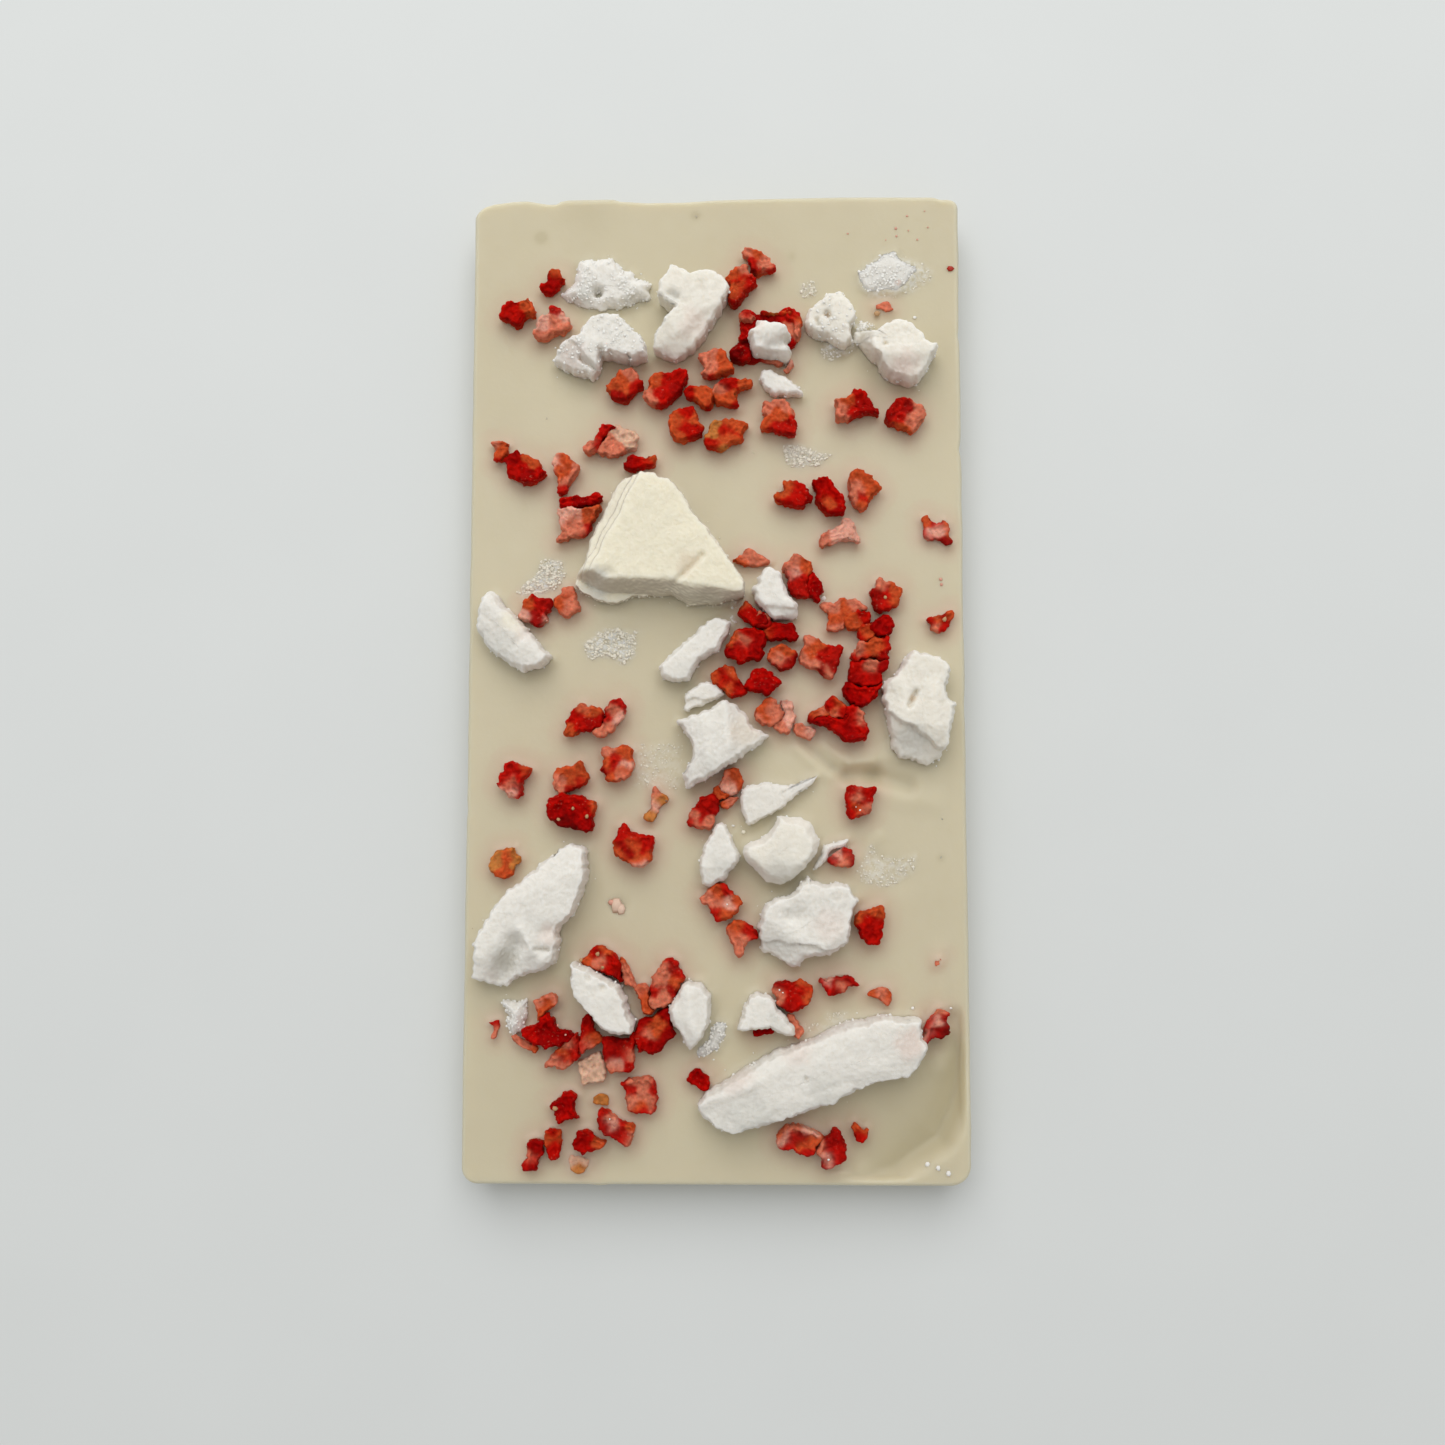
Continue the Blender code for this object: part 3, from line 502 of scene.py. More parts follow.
def barMesh(bar, rings):
    # the face grid, then rings out over the rim's quarter circle, down the drafted side and round the foot's
    # quarter circle, each ring the face's edge shifted by (push outwards, drop)
    x, y = faceGrid(bar)
    gaps = gapToOutlines(x, y, rings, 4.0)
    relief = faceRelief(bar, x, y, gaps)
    top = np.stack([x, y, faceHeight + relief], -1)
    rows, count = x.shape
    index = np.arange(rows * count).reshape(rows, count)
    a, b = index[:-1], index[1:]
    quads = np.stack([a[:, :-1], a[:, 1:], b[:, 1:], b[:, :-1]], -1).reshape(-1, 4)
    loop = np.concatenate([index[0, :-1], index[:-1, -1], index[-1, :0:-1], index[:0:-1, 0]])
    edge = top.reshape(-1, 3)[loop]
    out = outward(edge[:, :2])
    core = np.array([bar["halfWidth"], bar["halfLength"]]) - bar["coreInset"]
    inward = edge[:, :2] - np.clip(edge[:, :2], -core, core)     # from an inner box, so that no corner folds
    inward /= np.linalg.norm(inward, axis=1)[:, None]
    rim, foot, draft = bar["rim"], bar["foot"], bar["draft"]
    turn = np.radians([15, 32, 50, 70, 90])
    profile = [(rim * math.sin(t), -rim * (1 - math.cos(t))) for t in turn]
    low = faceHeight - foot
    profile += [(rim - draft * f, -rim - (low - rim) * f) for f in (0.25, 0.5, 0.75, 1.0)]
    profile += [(rim - draft - foot * (1 - math.cos(t)), -low - foot * math.sin(t)) for t in turn]
    points, faces = [top.reshape(-1, 3)], [quads]
    previous = loop
    for number, (push, drop) in enumerate(profile):
        ring = np.column_stack([edge[:, :2] + (out if push > 0 else inward) * push, edge[:, 2] + drop])
        if drop < -3:      # low down the rings are level, whatever the face's edge does
            ring[:, 2] = faceHeight + drop
        fresh = rows * count + number * len(loop) + np.arange(len(loop))
        points.append(ring)
        faces.append(ringQuads(np.stack([previous, fresh])))
        previous = fresh
    points = np.vstack(points + [np.array([[0.0, 0.0, 0.0]])])
    return points, np.vstack(faces), fanTo(previous, len(points) - 1)


chocolateFinish = {
    "colours": ((0.618, 0.555, 0.399, 1), (0.648, 0.587, 0.425, 1)), "powder": (0.82, 0.81, 0.77, 1),
    # colour of each mask and the most of it that shows; all three are painted shade, the first with red
    # light, the second with tan
    "masks": {"fruitShadeAndRedLight": ((0.62, 0.445, 0.335, 1), 0.7), "shadeAndTan": ((0.47, 0.405, 0.245, 1), 0.6),
              "rimShade": ((0.50, 0.475, 0.375, 1), 0.85)},
}


def chocolateMaterial():
    # two creams in broad noise, then the masks' colours one over the other, then powder in fine grains
    shader = Shader("white chocolate")
    broad, fine = shader.noise(55.0, 3.0), shader.noise(900.0, 3.0)
    colour = shader.mix(shader.spread(broad, 0.3, 0.7), *chocolateFinish["colours"])
    for name, (tint, most) in chocolateFinish["masks"].items():
        colour = shader.mix(shader.spread(shader.attribute(name), 0, 1, 0, most), colour, tint)
    grains = shader.spread(shader.noise(1700.0, 2.0), 0.36, 0.62)
    powder = shader.node("Math", {0: shader.attribute("powder"), 1: grains}, operation="MULTIPLY")
    colour = shader.mix(powder.outputs[0], colour, chocolateFinish["powder"])
    shader.use("Base Color", colour)
    shader.use("Roughness", shader.spread(shader.noise(260.0), 0.2, 0.8, 0.42, 0.58))
    shader.set(Specular_IOR_Level=0.35, Subsurface_Weight=0.8, Subsurface_Scale=0.0026)
    shader.principled.inputs["Subsurface Radius"].default_value = (1.0, 0.93, 0.8)
    shader.bump(fine, 0.25, 0.00012)
    return shader.material


# Broken meringue

powderFinish = {
    "outline": (0.4, 1, 0.4, 0.3),                  # spacing, rounding, wobble and ragged noise
    "reach": 1.2, "fade": (-0.5, 1.1), "heap": 0.1,
}
# count and sizes of the grains of each powdery patch, the share that it covers, and its height where heaped
crumbPatches = [
    {"count": 264, "cover": 0.95, "size": (0.18, 0.61),
     "outline": [(-27.3, 18.6), (-24.3, 18.4), (-23.5, 15.9), (-25.3, 13.8), (-28.3, 12.8), (-31.3, 13.1),
     (-29.8, 14.9), (-27.8, 16.4)]},
    {"count": 286, "cover": 0.95, "size": (0.18, 0.61),
     "outline": [(-20.5, 5.3), (-20, 2.7), (-17.2, 3.3), (-14.2, 1.9), (-12.5, 3.8), (-12.3, 7.3),
     (-13.2, 6.8), (-15.2, 7.5), (-17.2, 7.8), (-19.2, 6.3)]},
    {"count": 198, "cover": 0.6, "size": (0.18, 0.58),
     "outline": [(10.5, 36.5), (12.1, 36.9), (15.1, 35.9), (18.1, 35), (16.1, 33.5), (13.1, 32.8),
     (11, 33.5)]},
    {"count": 132, "cover": 0.25, "size": (0.18, 0.43),
     "outline": [(-12.8, -10.4), (-5.1, -10.4), (-5.1, -17.4), (-12.8, -17.4)]},
    {"count": 132, "cover": 0.45, "size": (0.18, 0.5),
     "outline": [(21.6, -30), (23.7, -25.5), (25.2, -27.5), (28.2, -28), (30.7, -27.5), (30.2, -30),
     (27.2, -32), (24.2, -32.4), (22.1, -31.5)]},
    {"count": 30, "cover": 0.3, "size": (0.18, 0.43),
     "outline": [(16.6, -51.2), (20.1, -51.2), (20.1, -53.2), (16.6, -53.2)]},
    {"count": 52, "cover": 0.3, "size": (0.18, 0.5),
     "outline": [(13.1, -53), (20.1, -53), (20.1, -54.4), (13.1, -54.4)]},
    {"count": 66, "cover": 0.3, "size": (0.18, 0.5),
     "outline": [(13.3, 62.8), (15.7, 63.2), (16.1, 60.7), (13.6, 60.5)]},
    {"count": 30, "cover": 0.25, "size": (0.18, 0.43),
     "outline": [(16.6, 52), (18.6, 52.1), (18.7, 50.3), (16.7, 50.2)]},
    {"count": 198, "cover": 0.5, "size": (0.18, 0.5),
     "outline": [(22.4, 62.3), (23.3, 65.3), (26.7, 67.4), (30.7, 66.8), (34.4, 65), (34.2, 63.4),
     (31.8, 61.6), (28.2, 60.3), (24.2, 60.5)]},
    {"count": 150, "cover": 0.9, "size": (0.2, 0.6), "heap": 0.7, "tone": "white",
     "outline": [(17.3, 53.7), (18.8, 53.2), (21.5, 54), (22.5, 54.6), (23.1, 53.6), (22.9, 52.3),
     (21.5, 51.7), (20.8, 50.8), (18.9, 50.7), (17.3, 50.9), (16.7, 52)]},
    {"count": 110, "cover": 1, "size": (0.2, 0.6), "heap": 0.9, "tone": "white",
     "outline": [(21, 55.7), (22.8, 56.5), (24.2, 56.4), (25.3, 55.7), (24.4, 54.6), (23.1, 53.6),
     (21.5, 54)]},
    {"count": 26, "cover": 0.9, "size": (0.2, 0.5), "heap": 0.7, "tone": "white",
     "outline": [(2, 12.2), (3.2, 12.2), (3.8, 11.1), (2.6, 10.6)]},
    {"count": 26, "cover": 0.8, "size": (0.2, 0.5), "heap": 0.4, "tone": "white",
     "outline": [(1.9, 9.6), (3.1, 9.5), (3.2, 8.4), (2, 8.1)]},
    {"count": 60, "cover": 0.9, "size": (0.2, 0.55), "heap": 0.5, "tone": "white",
     "outline": [(-19.8, 13.2), (-17.9, 12.9), (-13.4, 13), (-13.1, 12.5), (-14.5, 12.1), (-16.2, 12),
     (-18.1, 12.2)]},
    {"count": 50, "cover": 0.9, "size": (0.2, 0.5), "heap": 0.4, "tone": "white",
     "outline": [(-5.4, 12.5), (-3.5, 11.9), (-1.5, 11.8), (2.3, 12.1), (2.4, 11.4), (1, 11.1), (-1.7, 11),
     (-3.7, 11.2)]},
]

meringueFinish = {
    "spacing": 0.22, "tuck": 0.15, "sunk": 0.8, "shoulder": 0.45, "edge": 0.72,
    "outline": (0.06, 0.12, 0.08, 0.45),            # wobble, and more by roughness; ragged, and more
    "breakWaver": (0.55, 3.1), "breakSoftness": 0.16, "ledgeWaver": (0.5, 1.8), "ledgeSoftness": 0.12,
    "lowest": 0.3,                                  # no break goes deeper than this share of the height
    "swell": (0.2, 0.25, 4.2),                      # of the top: height, more by roughness, and size
    "shoulderWaver": (0.7, 2.4),
    "cells": (0.09, 1.1), "lumps": (0.14, 1.7), "fine": (0.05, 0.08, 0.42),
    "strewn": (0.2, 0.55), "tintWaver": (0.4, 1.5), "dust": (0.04, 1.1),
    "white": (0.81, 0.785, 0.73), "cream": (0.85, 0.80, 0.65), "ivory": (0.83, 0.795, 0.715),
    # blush is partly pink fruit powder and partly painted pinkish shade and light from the fruit; grey is
    # painted shade; biscuit is partly the baked tan and partly painted shade
    "blush": (0.77, 0.62, 0.55), "grey": (0.66, 0.65, 0.60), "biscuit": (0.72, 0.60, 0.45),
    # painted shade on steep walls and on sunken facets, a darker grey-brown
    "sideShade": (0.50, 0.45, 0.355),
}
meringuePieces = [
    {"outline": [(-4.9, 3.2), (-5.4, 0.9), (-7.3, -0.9), (-6.2, -1.9), (-3.5, -2.8), (-0, -3.2), (4, -2.7),
     (6.8, -1.6), (7.1, 0.5), (4.8, 1.7), (4.1, 2.7), (2.1, 3.6), (1.1, 5), (-0.9, 4.7), (-3.9, 4.9)],
     "middle": (-17.2, 61.8), "height": 2.2, "colour": "white", "breaks": [(235, 3.5, 0.3)], "rough": 0.75,
     "shoulder": 1.5, "edge": 0.35, "crumbs": 2.6, "strewn": 150,
     "marks": [(-1.4, -0.8, -1.4, -0.8, 0.75, 2.8)],
     "tints": [("grey", -4.3, -1.5, 2.5, 0.6)]},
    {"outline": [(-2.5, 2.8), (-3, 1.4), (-5.7, 0.6), (-7.5, -1.9), (-7, -2.7), (-4.2, -4.1), (-0.9, -5),
     (0.2, -3), (0.3, -1.6), (2.4, -2), (5.1, -2.5), (7.6, -2), (7.1, 0.1), (6.2, 1.7), (4, 3.7),
     (2.8, 4.4), (0.9, 4.5), (-1.2, 4.1)],
     "middle": (-18.1, 51.9), "height": 5.4, "colour": "white", "breaks": [(225, 3.5, 0.7), (60, 4.5, 0.4)],
     "rough": 0.75, "crumbs": 1.6, "strewn": 110, "ledges": [(225, 3, 0.6)],
     "marks": [(-2.9, -2.4, -0.7, -3.9, 0.35, 1.2), (0.4, -2.4, 0.4, -1.4, 0.5, 1)],
     "tints": [("blush", -3.9, -1.9, 3, 0.35)]},
    {"outline": [(-4.6, 3.6), (-5, 1.8), (-3.8, 0.6), (-2, -0.5), (-2.3, -0.4), (-5.6, -4.9), (-5.8, -6.6),
     (-2.1, -8), (0.7, -6.1), (2.4, -4.1), (5, -0), (6.4, 2.8), (5.3, 4.1), (3.6, 5.4), (-0.1, 5.2),
     (-2.8, 6.2)],
     "middle": (-4.0, 57.6), "height": 6, "colour": "ivory", "slot": "cream", "breaks": [(305, 2.5, 0.5),
     (240, 4, 0.35)], "rough": 0.5, "shoulder": 0.4, "edge": 0.88,
     "marks": [(-2.9, 1.5, -1.8, 1.1, 0.6, 0.7), (-2.2, 0.3, -0.5, 0.2, 0.6, 0.2),
     (0.8, -6.1, -2, -9.6, 1.1, -0.5), (-3.6, -7.1, -2.4, -10.6, 0.5, 0.3),
     (2.4, -1.6, 0.2, -5.2, 0.9, 0.35), (1.8, 3.4, 2.5, 0.4, 0.6, 0.25)],
     "tints": [("grey", -2.3, 1.3, 1.3, 0.6), ("blush", 1, -3.1, 3, 0.35)]},
    {"outline": [(-2.9, -2.1), (-0.3, -2.6), (2.6, -3.2), (3.2, -2.3), (2.3, -0.7), (3.4, -0), (2.6, 1.3),
     (1.3, 1.7), (-1.3, 2.5), (-2, 2.1), (-3.2, 0.5), (-3, -0.3)],
     "middle": (8.6, 52.6), "height": 6.2, "colour": "white", "breaks": [(300, 1, 0.6)], "rough": 0.8,
     "marks": [(-2.6, 0.4, 2.4, 1, 1.4, -0.7), (-0.3, -1.9, 2.8, -0.7, 0.7, 0.8),
     (-0.9, -3.5, -0.2, -3.4, 0.8, 0.9)],
     "tints": [("blush", -2.4, 1.9, 2.2, 0.5)]},
    {"outline": [(-2.8, 1), (-1.9, -0.4), (-0.6, -1.5), (0.6, -1.2), (4.1, -1.4), (2.7, 0.2), (1.1, 1.4),
     (-0.9, 2.5), (-2.8, 2.6)],
     "middle": (9.9, 45.5), "height": 2.8, "colour": "white", "breaks": [(60, 1.2, 0.4)], "rough": 0.8},
    {"outline": [(-4.2, -0.7), (-3.3, -2.4), (-0.6, -2.8), (0.7, -3.9), (2.1, -4.4), (3.1, -3.6),
     (2.8, -1.3), (3.9, 0.2), (3.5, 1.9), (1.6, 4.1), (-0.5, 4.1), (-1.5, 3), (-3.1, 2), (-3.8, 0.9)],
     "middle": (18.2, 55.9), "height": 4.2, "colour": "ivory", "slot": "cream", "breaks": [(250, 2.5, 0.5)],
     "rough": 0.7, "crumbs": 1.4, "strewn": 60,
     "marks": [(-0.7, 0.3, -0.8, 0.5, 0.5, 1.2), (-2.3, -0.5, -2.2, -1.1, 0.35, 0.7)],
     "tints": [("biscuit", -0.6, 0.4, 0.6, 0.7), ("grey", -2.2, -2.4, 2, 0.4)]},
    {"outline": [(-6.9, 2), (-5.8, 1), (-4, -0.8), (-2, -4), (-0.7, -4.9), (3.1, -5.3), (5.1, -2.6),
     (4.9, -1.6), (5.6, -1.1), (6, -0), (4.2, 0.7), (3.5, 2.2), (1.1, 4), (-0.1, 4.4), (-1, 4.1),
     (-3.5, 2.3), (-5.1, 3.3), (-6.6, 3.5)],
     "middle": (28.4, 50.9), "height": 6.2, "colour": "ivory", "slot": "cream", "breaks": [(262, 1.8, 0.35),
     (172, 4, 2.2)], "rough": 0.7, "crumbs": 1.4,
     "marks": [(-4.9, 0.4, -2.6, -1.9, 0.8, -0.3), (-2.6, -1.5, 3.7, -0.9, 1.6, -0.35),
     (-2.2, -0.2, -2.2, -0.2, 0.35, 0.5)],
     "tints": [("blush", 0.6, -3.7, 3, 0.6), ("grey", -3.4, -2.9, 2, 0.3)]},
    {"outline": [(-3.7, -1.5), (-1.4, -2.4), (-0, -1.9), (1.4, -2.2), (3.2, -1.2), (3.9, 0.1), (5.4, 1.4),
     (4.8, 2), (2.6, 2.7), (1.4, 4.3), (-0.5, 4), (-2.4, 2.6), (-4.6, 0.8)],
     "middle": (27.0, 63.4), "height": 0.9, "colour": "white", "rough": 0.7, "shoulder": 1.2, "edge": 0.4,
     "crumbs": 2.8, "strewn": 120,
     "marks": [(-1, -1.2, -1, -1.2, 0.5, 0.5)],
     "tints": [("blush", 1.8, -0.9, 0.6, 0.9)]},
    {"outline": [(-11.2, -6.8), (-8.3, -8.1), (-5.8, -8.3), (-3.3, -7.3), (2.8, -7.1), (5.3, -8.7),
     (9.3, -8.6), (13.8, -7.6), (14.1, -6.1), (10.7, -0.9), (8.7, 1.7), (6.6, 4.2), (3.7, 8.8), (2.7, 9.8),
     (1.1, 10.1), (0.5, 10.8), (-0.8, 11.1), (-2.7, 10.8), (-5, 10.5), (-6.2, 9), (-7.7, 5.5), (-9.7, 1.3),
     (-10.7, -2.6), (-12.5, -5.3)],
     "middle": (-9.4, 19.7), "height": 7.6, "colour": "cream", "slot": "cream", "breaks": [(154, 6.4, 0.8),
     (262, 5.7, 3)], "rough": 0.3, "shoulder": 0.3, "edge": 0.9, "crumbs": 1.6, "wall": 1,
     "ledges": [(154, 6.6, 0.5), (154, 7.7, 0.7)],
     "marks": [(7.5, -2, 3.2, -6.3, 0.5, 0.6), (-9.9, -5.3, -6.4, -4.5, 0.9, 0.55)],
     "tints": [("grey", -8.6, -6.1, 3, 0.7), ("biscuit", 5.4, -3.1, 2.2, 0.5)]},
    {"outline": [(-4.5, 4.5), (-5.1, 1.6), (-3.8, -1.3), (-1.5, -3.5), (2.3, -5.7), (6.4, -4.1),
     (6.6, -3.2), (4, -0.3), (1, 3.1), (-2.4, 6.7), (-3.3, 6.9), (-4.2, 5.8)],
     "middle": (-31.8, 6.2), "height": 4.8, "colour": "white", "breaks": [(45, 1.2, 0.5), (222, 1.4, 0.6)],
     "rough": 0.7,
     "marks": [(-3.2, 4.8, 5.8, -3.7, 1.5, -0.5), (1.3, -1.6, 2.8, 0, 0.6, 0.3)],
     "tints": [("cream", 1.3, 2.3, 2.5, 0.6), ("blush", 2.8, 0.3, 2, 0.2), ("grey", -1.2, -2.2, 3, 0.5)]},
    {"outline": [(-2.1, 3.1), (-3.4, 1), (-3, -0.7), (-1.9, -1.8), (-0.3, -3.6), (3, -3.6), (3.9, -2.6),
     (3.4, -1.2), (2.4, -0.3), (1.8, 1.1), (1, 3.4), (-0.9, 4.4), (-1.9, 4.1)],
     "middle": (9.1, 12.2), "height": 4.6, "colour": "white", "breaks": [(290, 3, 0.5)], "rough": 0.7,
     "ledges": [(270, 1.9, 0.7)]},
    {"outline": [(-5.2, -4), (-3.5, -4.7), (-0.9, -4.7), (0.2, -2.1), (1.5, -1), (3.6, 0), (4.9, 2.4),
     (5.7, 4.4), (3.7, 5.2), (1.6, 4.3), (-0, 2.8), (-3.3, -0.2), (-5.7, -2.5)],
     "middle": (-3.1, 3.8), "height": 4.4, "colour": "white", "breaks": [(130, 1.5, 0.4)], "rough": 0.6,
     "marks": [(1.1, -2.6, 2.1, -2, 0.9, 1.3)],
     "tints": [("grey", -0.9, -3.8, 3, 0.4)]},
    {"outline": [(-2.7, -1), (-2.9, -2.3), (-0.1, -1.4), (1.8, -0.6), (3.5, 0.2), (1.9, 2.2), (-0, 2.1),
     (-2, 1), (-2.8, -0.3)],
     "middle": (-1.9, -3.1), "height": 2.6, "colour": "white", "rough": 0.7, "ledges": [(270, 0.5, 0.5)]},
    {"outline": [(-3.5, -0.7), (-3.7, -2.5), (-5.3, -5.3), (-4.9, -7.4), (-3.7, -7.1), (-0.5, -5.3),
     (4.6, -1.9), (7.8, 0.7), (5.5, 2), (4.1, 4.1), (2.2, 5.5), (1, 6), (-0.8, 4.8), (-6.3, 2.8)],
     "middle": (0.4, -10.0), "height": 6.4, "colour": "white", "breaks": [(12, 1.2, 0.5), (195, 1.8, 0.4)],
     "rough": 0.7,
     "marks": [(1.3, 5.6, 1.9, -1, 0.9, -0.6)],
     "tints": [("biscuit", 4.1, 1.5, 3, 0.35), ("grey", -0.4, -4, 2.5, 0.4)]},
    {"outline": [(-3.9, 4.7), (-5.6, 3.5), (-5.7, 1.3), (-4.7, -2.7), (-4.4, -5.4), (-3.1, -7.5),
     (1.4, -8.6), (3.1, -7.9), (4.1, -5.9), (4.9, -0.7), (5.3, 0.3), (4.1, 1.4), (3.8, 2.5), (4.4, 5.4),
     (3.8, 6.9), (2.5, 7.5), (-1.1, 8.4), (-2.7, 6.7)],
     "middle": (31.2, -5.0), "height": 6.6, "colour": "ivory", "slot": "cream", "breaks": [(262, 3, 0.5),
     (175, 2.8, 0.4)], "rough": 0.75, "ledges": [(236, 3.6, 1.7)],
     "marks": [(-0.9, 2, -1.9, 0, 0.4, 1.2), (-4.2, 3.5, -4.2, 3.4, 1.2, -0.5),
     (1.8, 3, 1.8, -4, 1.2, -0.4)],
     "tints": [("biscuit", -1.4, 1, 0.7, 0.8), ("grey", -1.7, -6, 3.5, 0.6)]},
    {"outline": [(-4.5, -0.7), (-3.3, -4.2), (-0.7, -3), (2.2, -1.2), (4.3, 0.6), (6.4, 2), (7.5, 3.6),
     (5.9, 3), (4.1, 2.3), (1.7, 2), (-0.4, 2.5), (-2.8, 2.1), (-4.1, 1.2)],
     "middle": (8.3, -18.8), "height": 2.4, "colour": "white", "breaks": [(30, 3, 0.15)], "rough": 0.6},
    {"outline": [(-1.4, 3.7), (-2.2, 2.6), (-3.6, 1.7), (-5.8, 0.8), (-6.2, -0.4), (-5.4, -2), (-2.5, -4.7),
     (-0.7, -5.1), (0.8, -4.6), (2.7, -3.2), (4.9, -0.4), (5.2, 1.4), (4.5, 3), (3.8, 4.2), (2.4, 5),
     (-0.8, 5)],
     "middle": (10.4, -26.7), "height": 6.6, "colour": "ivory", "slot": "cream",
     "breaks": [(255, 2.4, 0.7)], "rough": 0.3, "shoulder": 1.1,
     "tints": [("grey", -0.4, -3.3, 3, 0.4)]},
    {"outline": [(-1.2, 3.1), (-2.8, -0.3), (-2.8, -2.1), (-2.3, -4.2), (-1, -4.5), (1.1, -3.4),
     (1.9, -2.1), (3, -0.8), (3.1, 0.5), (1.6, 3.9), (0.5, 5.2), (-0.5, 4.7)],
     "middle": (0.5, -27.6), "height": 4.6, "colour": "white", "breaks": [(270, 2, 0.35)], "rough": 0.6,
     "tints": [("grey", 0.5, -2.4, 3, 0.4)]},
    {"outline": [(-1, -1), (-2, -2.6), (-1.7, -3.1), (-0.1, -1.7), (0.7, 0.1), (3, 0.7), (3.3, 1.6),
     (1.5, 1.3), (-0.6, 0.7)],
     "middle": (17.0, -26.7), "height": 1.8, "colour": "white", "rough": 0.6},
    {"outline": [(0.9, 7.8), (-1.4, 5.7), (-4, 4), (-6.1, 0.7), (-8.2, -3.1), (-8.2, -6.7), (-8.7, -8.7),
     (-5.2, -9.5), (-3.5, -9.6), (0.6, -7.4), (2.3, -7.3), (3.7, -6.7), (4.4, -3.4), (4.4, -1), (6.9, 1.7),
     (8.6, 6.8), (8.4, 10.5), (7.4, 11.3), (5.9, 11.3), (4.4, 10.7)],
     "middle": (-27.9, -37.3), "height": 6.6, "colour": "white", "breaks": [(285, 3, 0.45),
     (120, 3.5, 0.4)], "rough": 0.75,
     "marks": [(-2, -3.3, -4.5, -8.7, 1.35, 2.3), (1.3, -4.1, 2.9, -4.2, 0.3, 0.8),
     (2.2, -5.7, 2.2, -5.9, 1, -0.6), (-0.9, -1, 0.8, -4.3, 0.8, -0.6), (2.4, -1.5, 5.4, -1.5, 1.1, 0.7)],
     # painted shade on the sunken lower facet, in grey and in the darker wall colour
     "tints": [("grey", -3.1, -5.7, 3, 0.7), ("sideShade", -3.1, -6.2, 2, 0.35),
     ("blush", 3.4, -2.2, 2.2, 0.4)]},
    {"outline": [(-1.2, 5.8), (-2.2, 4.3), (-5.7, 3.3), (-6.9, 1.2), (-7.5, -0.6), (-6.9, -4), (-3.4, -6.4),
     (-2.1, -6.7), (-0.1, -5.1), (2.8, -4.8), (4.2, -4.3), (6.3, -2.6), (6.7, 2.4), (7.6, 3.5), (6.2, 5.6),
     (3.1, 5.8), (0.9, 6.3), (0.1, 6.9)],
     "middle": (13.9, -37.6), "height": 5.8, "colour": "white", "breaks": [(232, 3, 0.55), (300, 4, 0.5)],
     "rough": 0.95, "ledges": [(262, 3.4, 0.8)],
     "marks": [(-2.4, 1.1, -1.4, 1.1, 1.3, 0.9)],
     "tints": [("blush", 3.1, -0.4, 3, 0.3), ("grey", -3.9, -3.4, 2.5, 0.4)]},
    {"outline": [(-4.6, 2.7), (-3.6, 0.3), (-1.3, -1.6), (-0.7, -3), (1.2, -4.5), (4.8, -4.9), (5.1, -3.3),
     (3.9, -0.5), (2.6, 2.4), (1.3, 3.1), (-2.1, 4.8), (-4.4, 5.7)],
     "middle": (-17.0, -49.2), "height": 7.4, "colour": "white", "breaks": [(205, 2, 0.4)], "rough": 0.7,
     "marks": [(-1.6, 3.8, -1.6, 3.7, 0.5, 0.8), (0.5, 2.3, 0.5, 2.2, 0.5, 0.8)]},
    {"outline": [(-1.6, -0), (-1.6, -1.8), (-0.4, -3.3), (1.1, -1.8), (1.5, -0.2), (1.5, 2.3), (-2, 1.9)],
     "middle": (-30.1, -51.6), "height": 2.6, "colour": "white", "rough": 1, "shoulder": 1, "edge": 0.4,
     "crumbs": 2.4, "strewn": 50},
    {"outline": [(-2.1, 2.5), (-3.3, 0.4), (-3.2, -1), (-1.4, -3.7), (-0.3, -5.7), (1.7, -3.6), (2.7, -1.6),
     (2.9, 0.1), (3, 2.3), (1.6, 4.3), (-0.5, 4.7), (-1.5, 4.1)],
     "middle": (-3.5, -50.9), "height": 5.4, "colour": "white", "slot": "cream", "breaks": [(240, 2, 0.4)],
     "rough": 0.5,
     "marks": [(-0.5, 2.9, 0.5, -3.6, 1, -0.5)]},
    {"outline": [(-0.8, 0.2), (-2.3, -1.7), (-2.6, -2.5), (-1.7, -2.9), (0.8, -1.3), (2.1, 0.2), (1.8, 1.9),
     (0.3, 2.7)],
     "middle": (-0.2, -55.1), "height": 1.2, "colour": "white", "rough": 1, "shoulder": 1.2, "edge": 0.3,
     "crumbs": 2.6, "strewn": 70},
    {"outline": [(-3.5, 0.6), (-4.1, -2), (-2.4, -2.2), (0.6, -1.7), (3.8, -3.1), (4.6, -2.8), (4.4, -1.6),
     (2.3, 1.1), (0.5, 3.2), (-1, 3.4), (-2.2, 3)],
     "middle": (7.4, -51.5), "height": 4.8, "colour": "white", "breaks": [(330, 2.5, 0.3)], "rough": 0.6,
     "tints": [("grey", 2.1, 0, 2, 0.4)]},
    {"outline": [(-17.7, -5.4), (-15.2, -7.7), (-12.7, -8.6), (-9.8, -8), (-3.4, -6), (2.9, -3.9),
     (5.8, -2.1), (10.4, -0.7), (13.8, -0.2), (14.9, 0.9), (16.5, 4), (15.5, 6), (15.5, 8.4), (12.1, 8.3),
     (10.7, 8.6), (5, 7.6), (1.8, 6.4), (-1.8, 4.5), (-5.4, 3.6), (-9.8, 1.2), (-15, -2), (-16.8, -3.3),
     (-17.9, -4.5)],
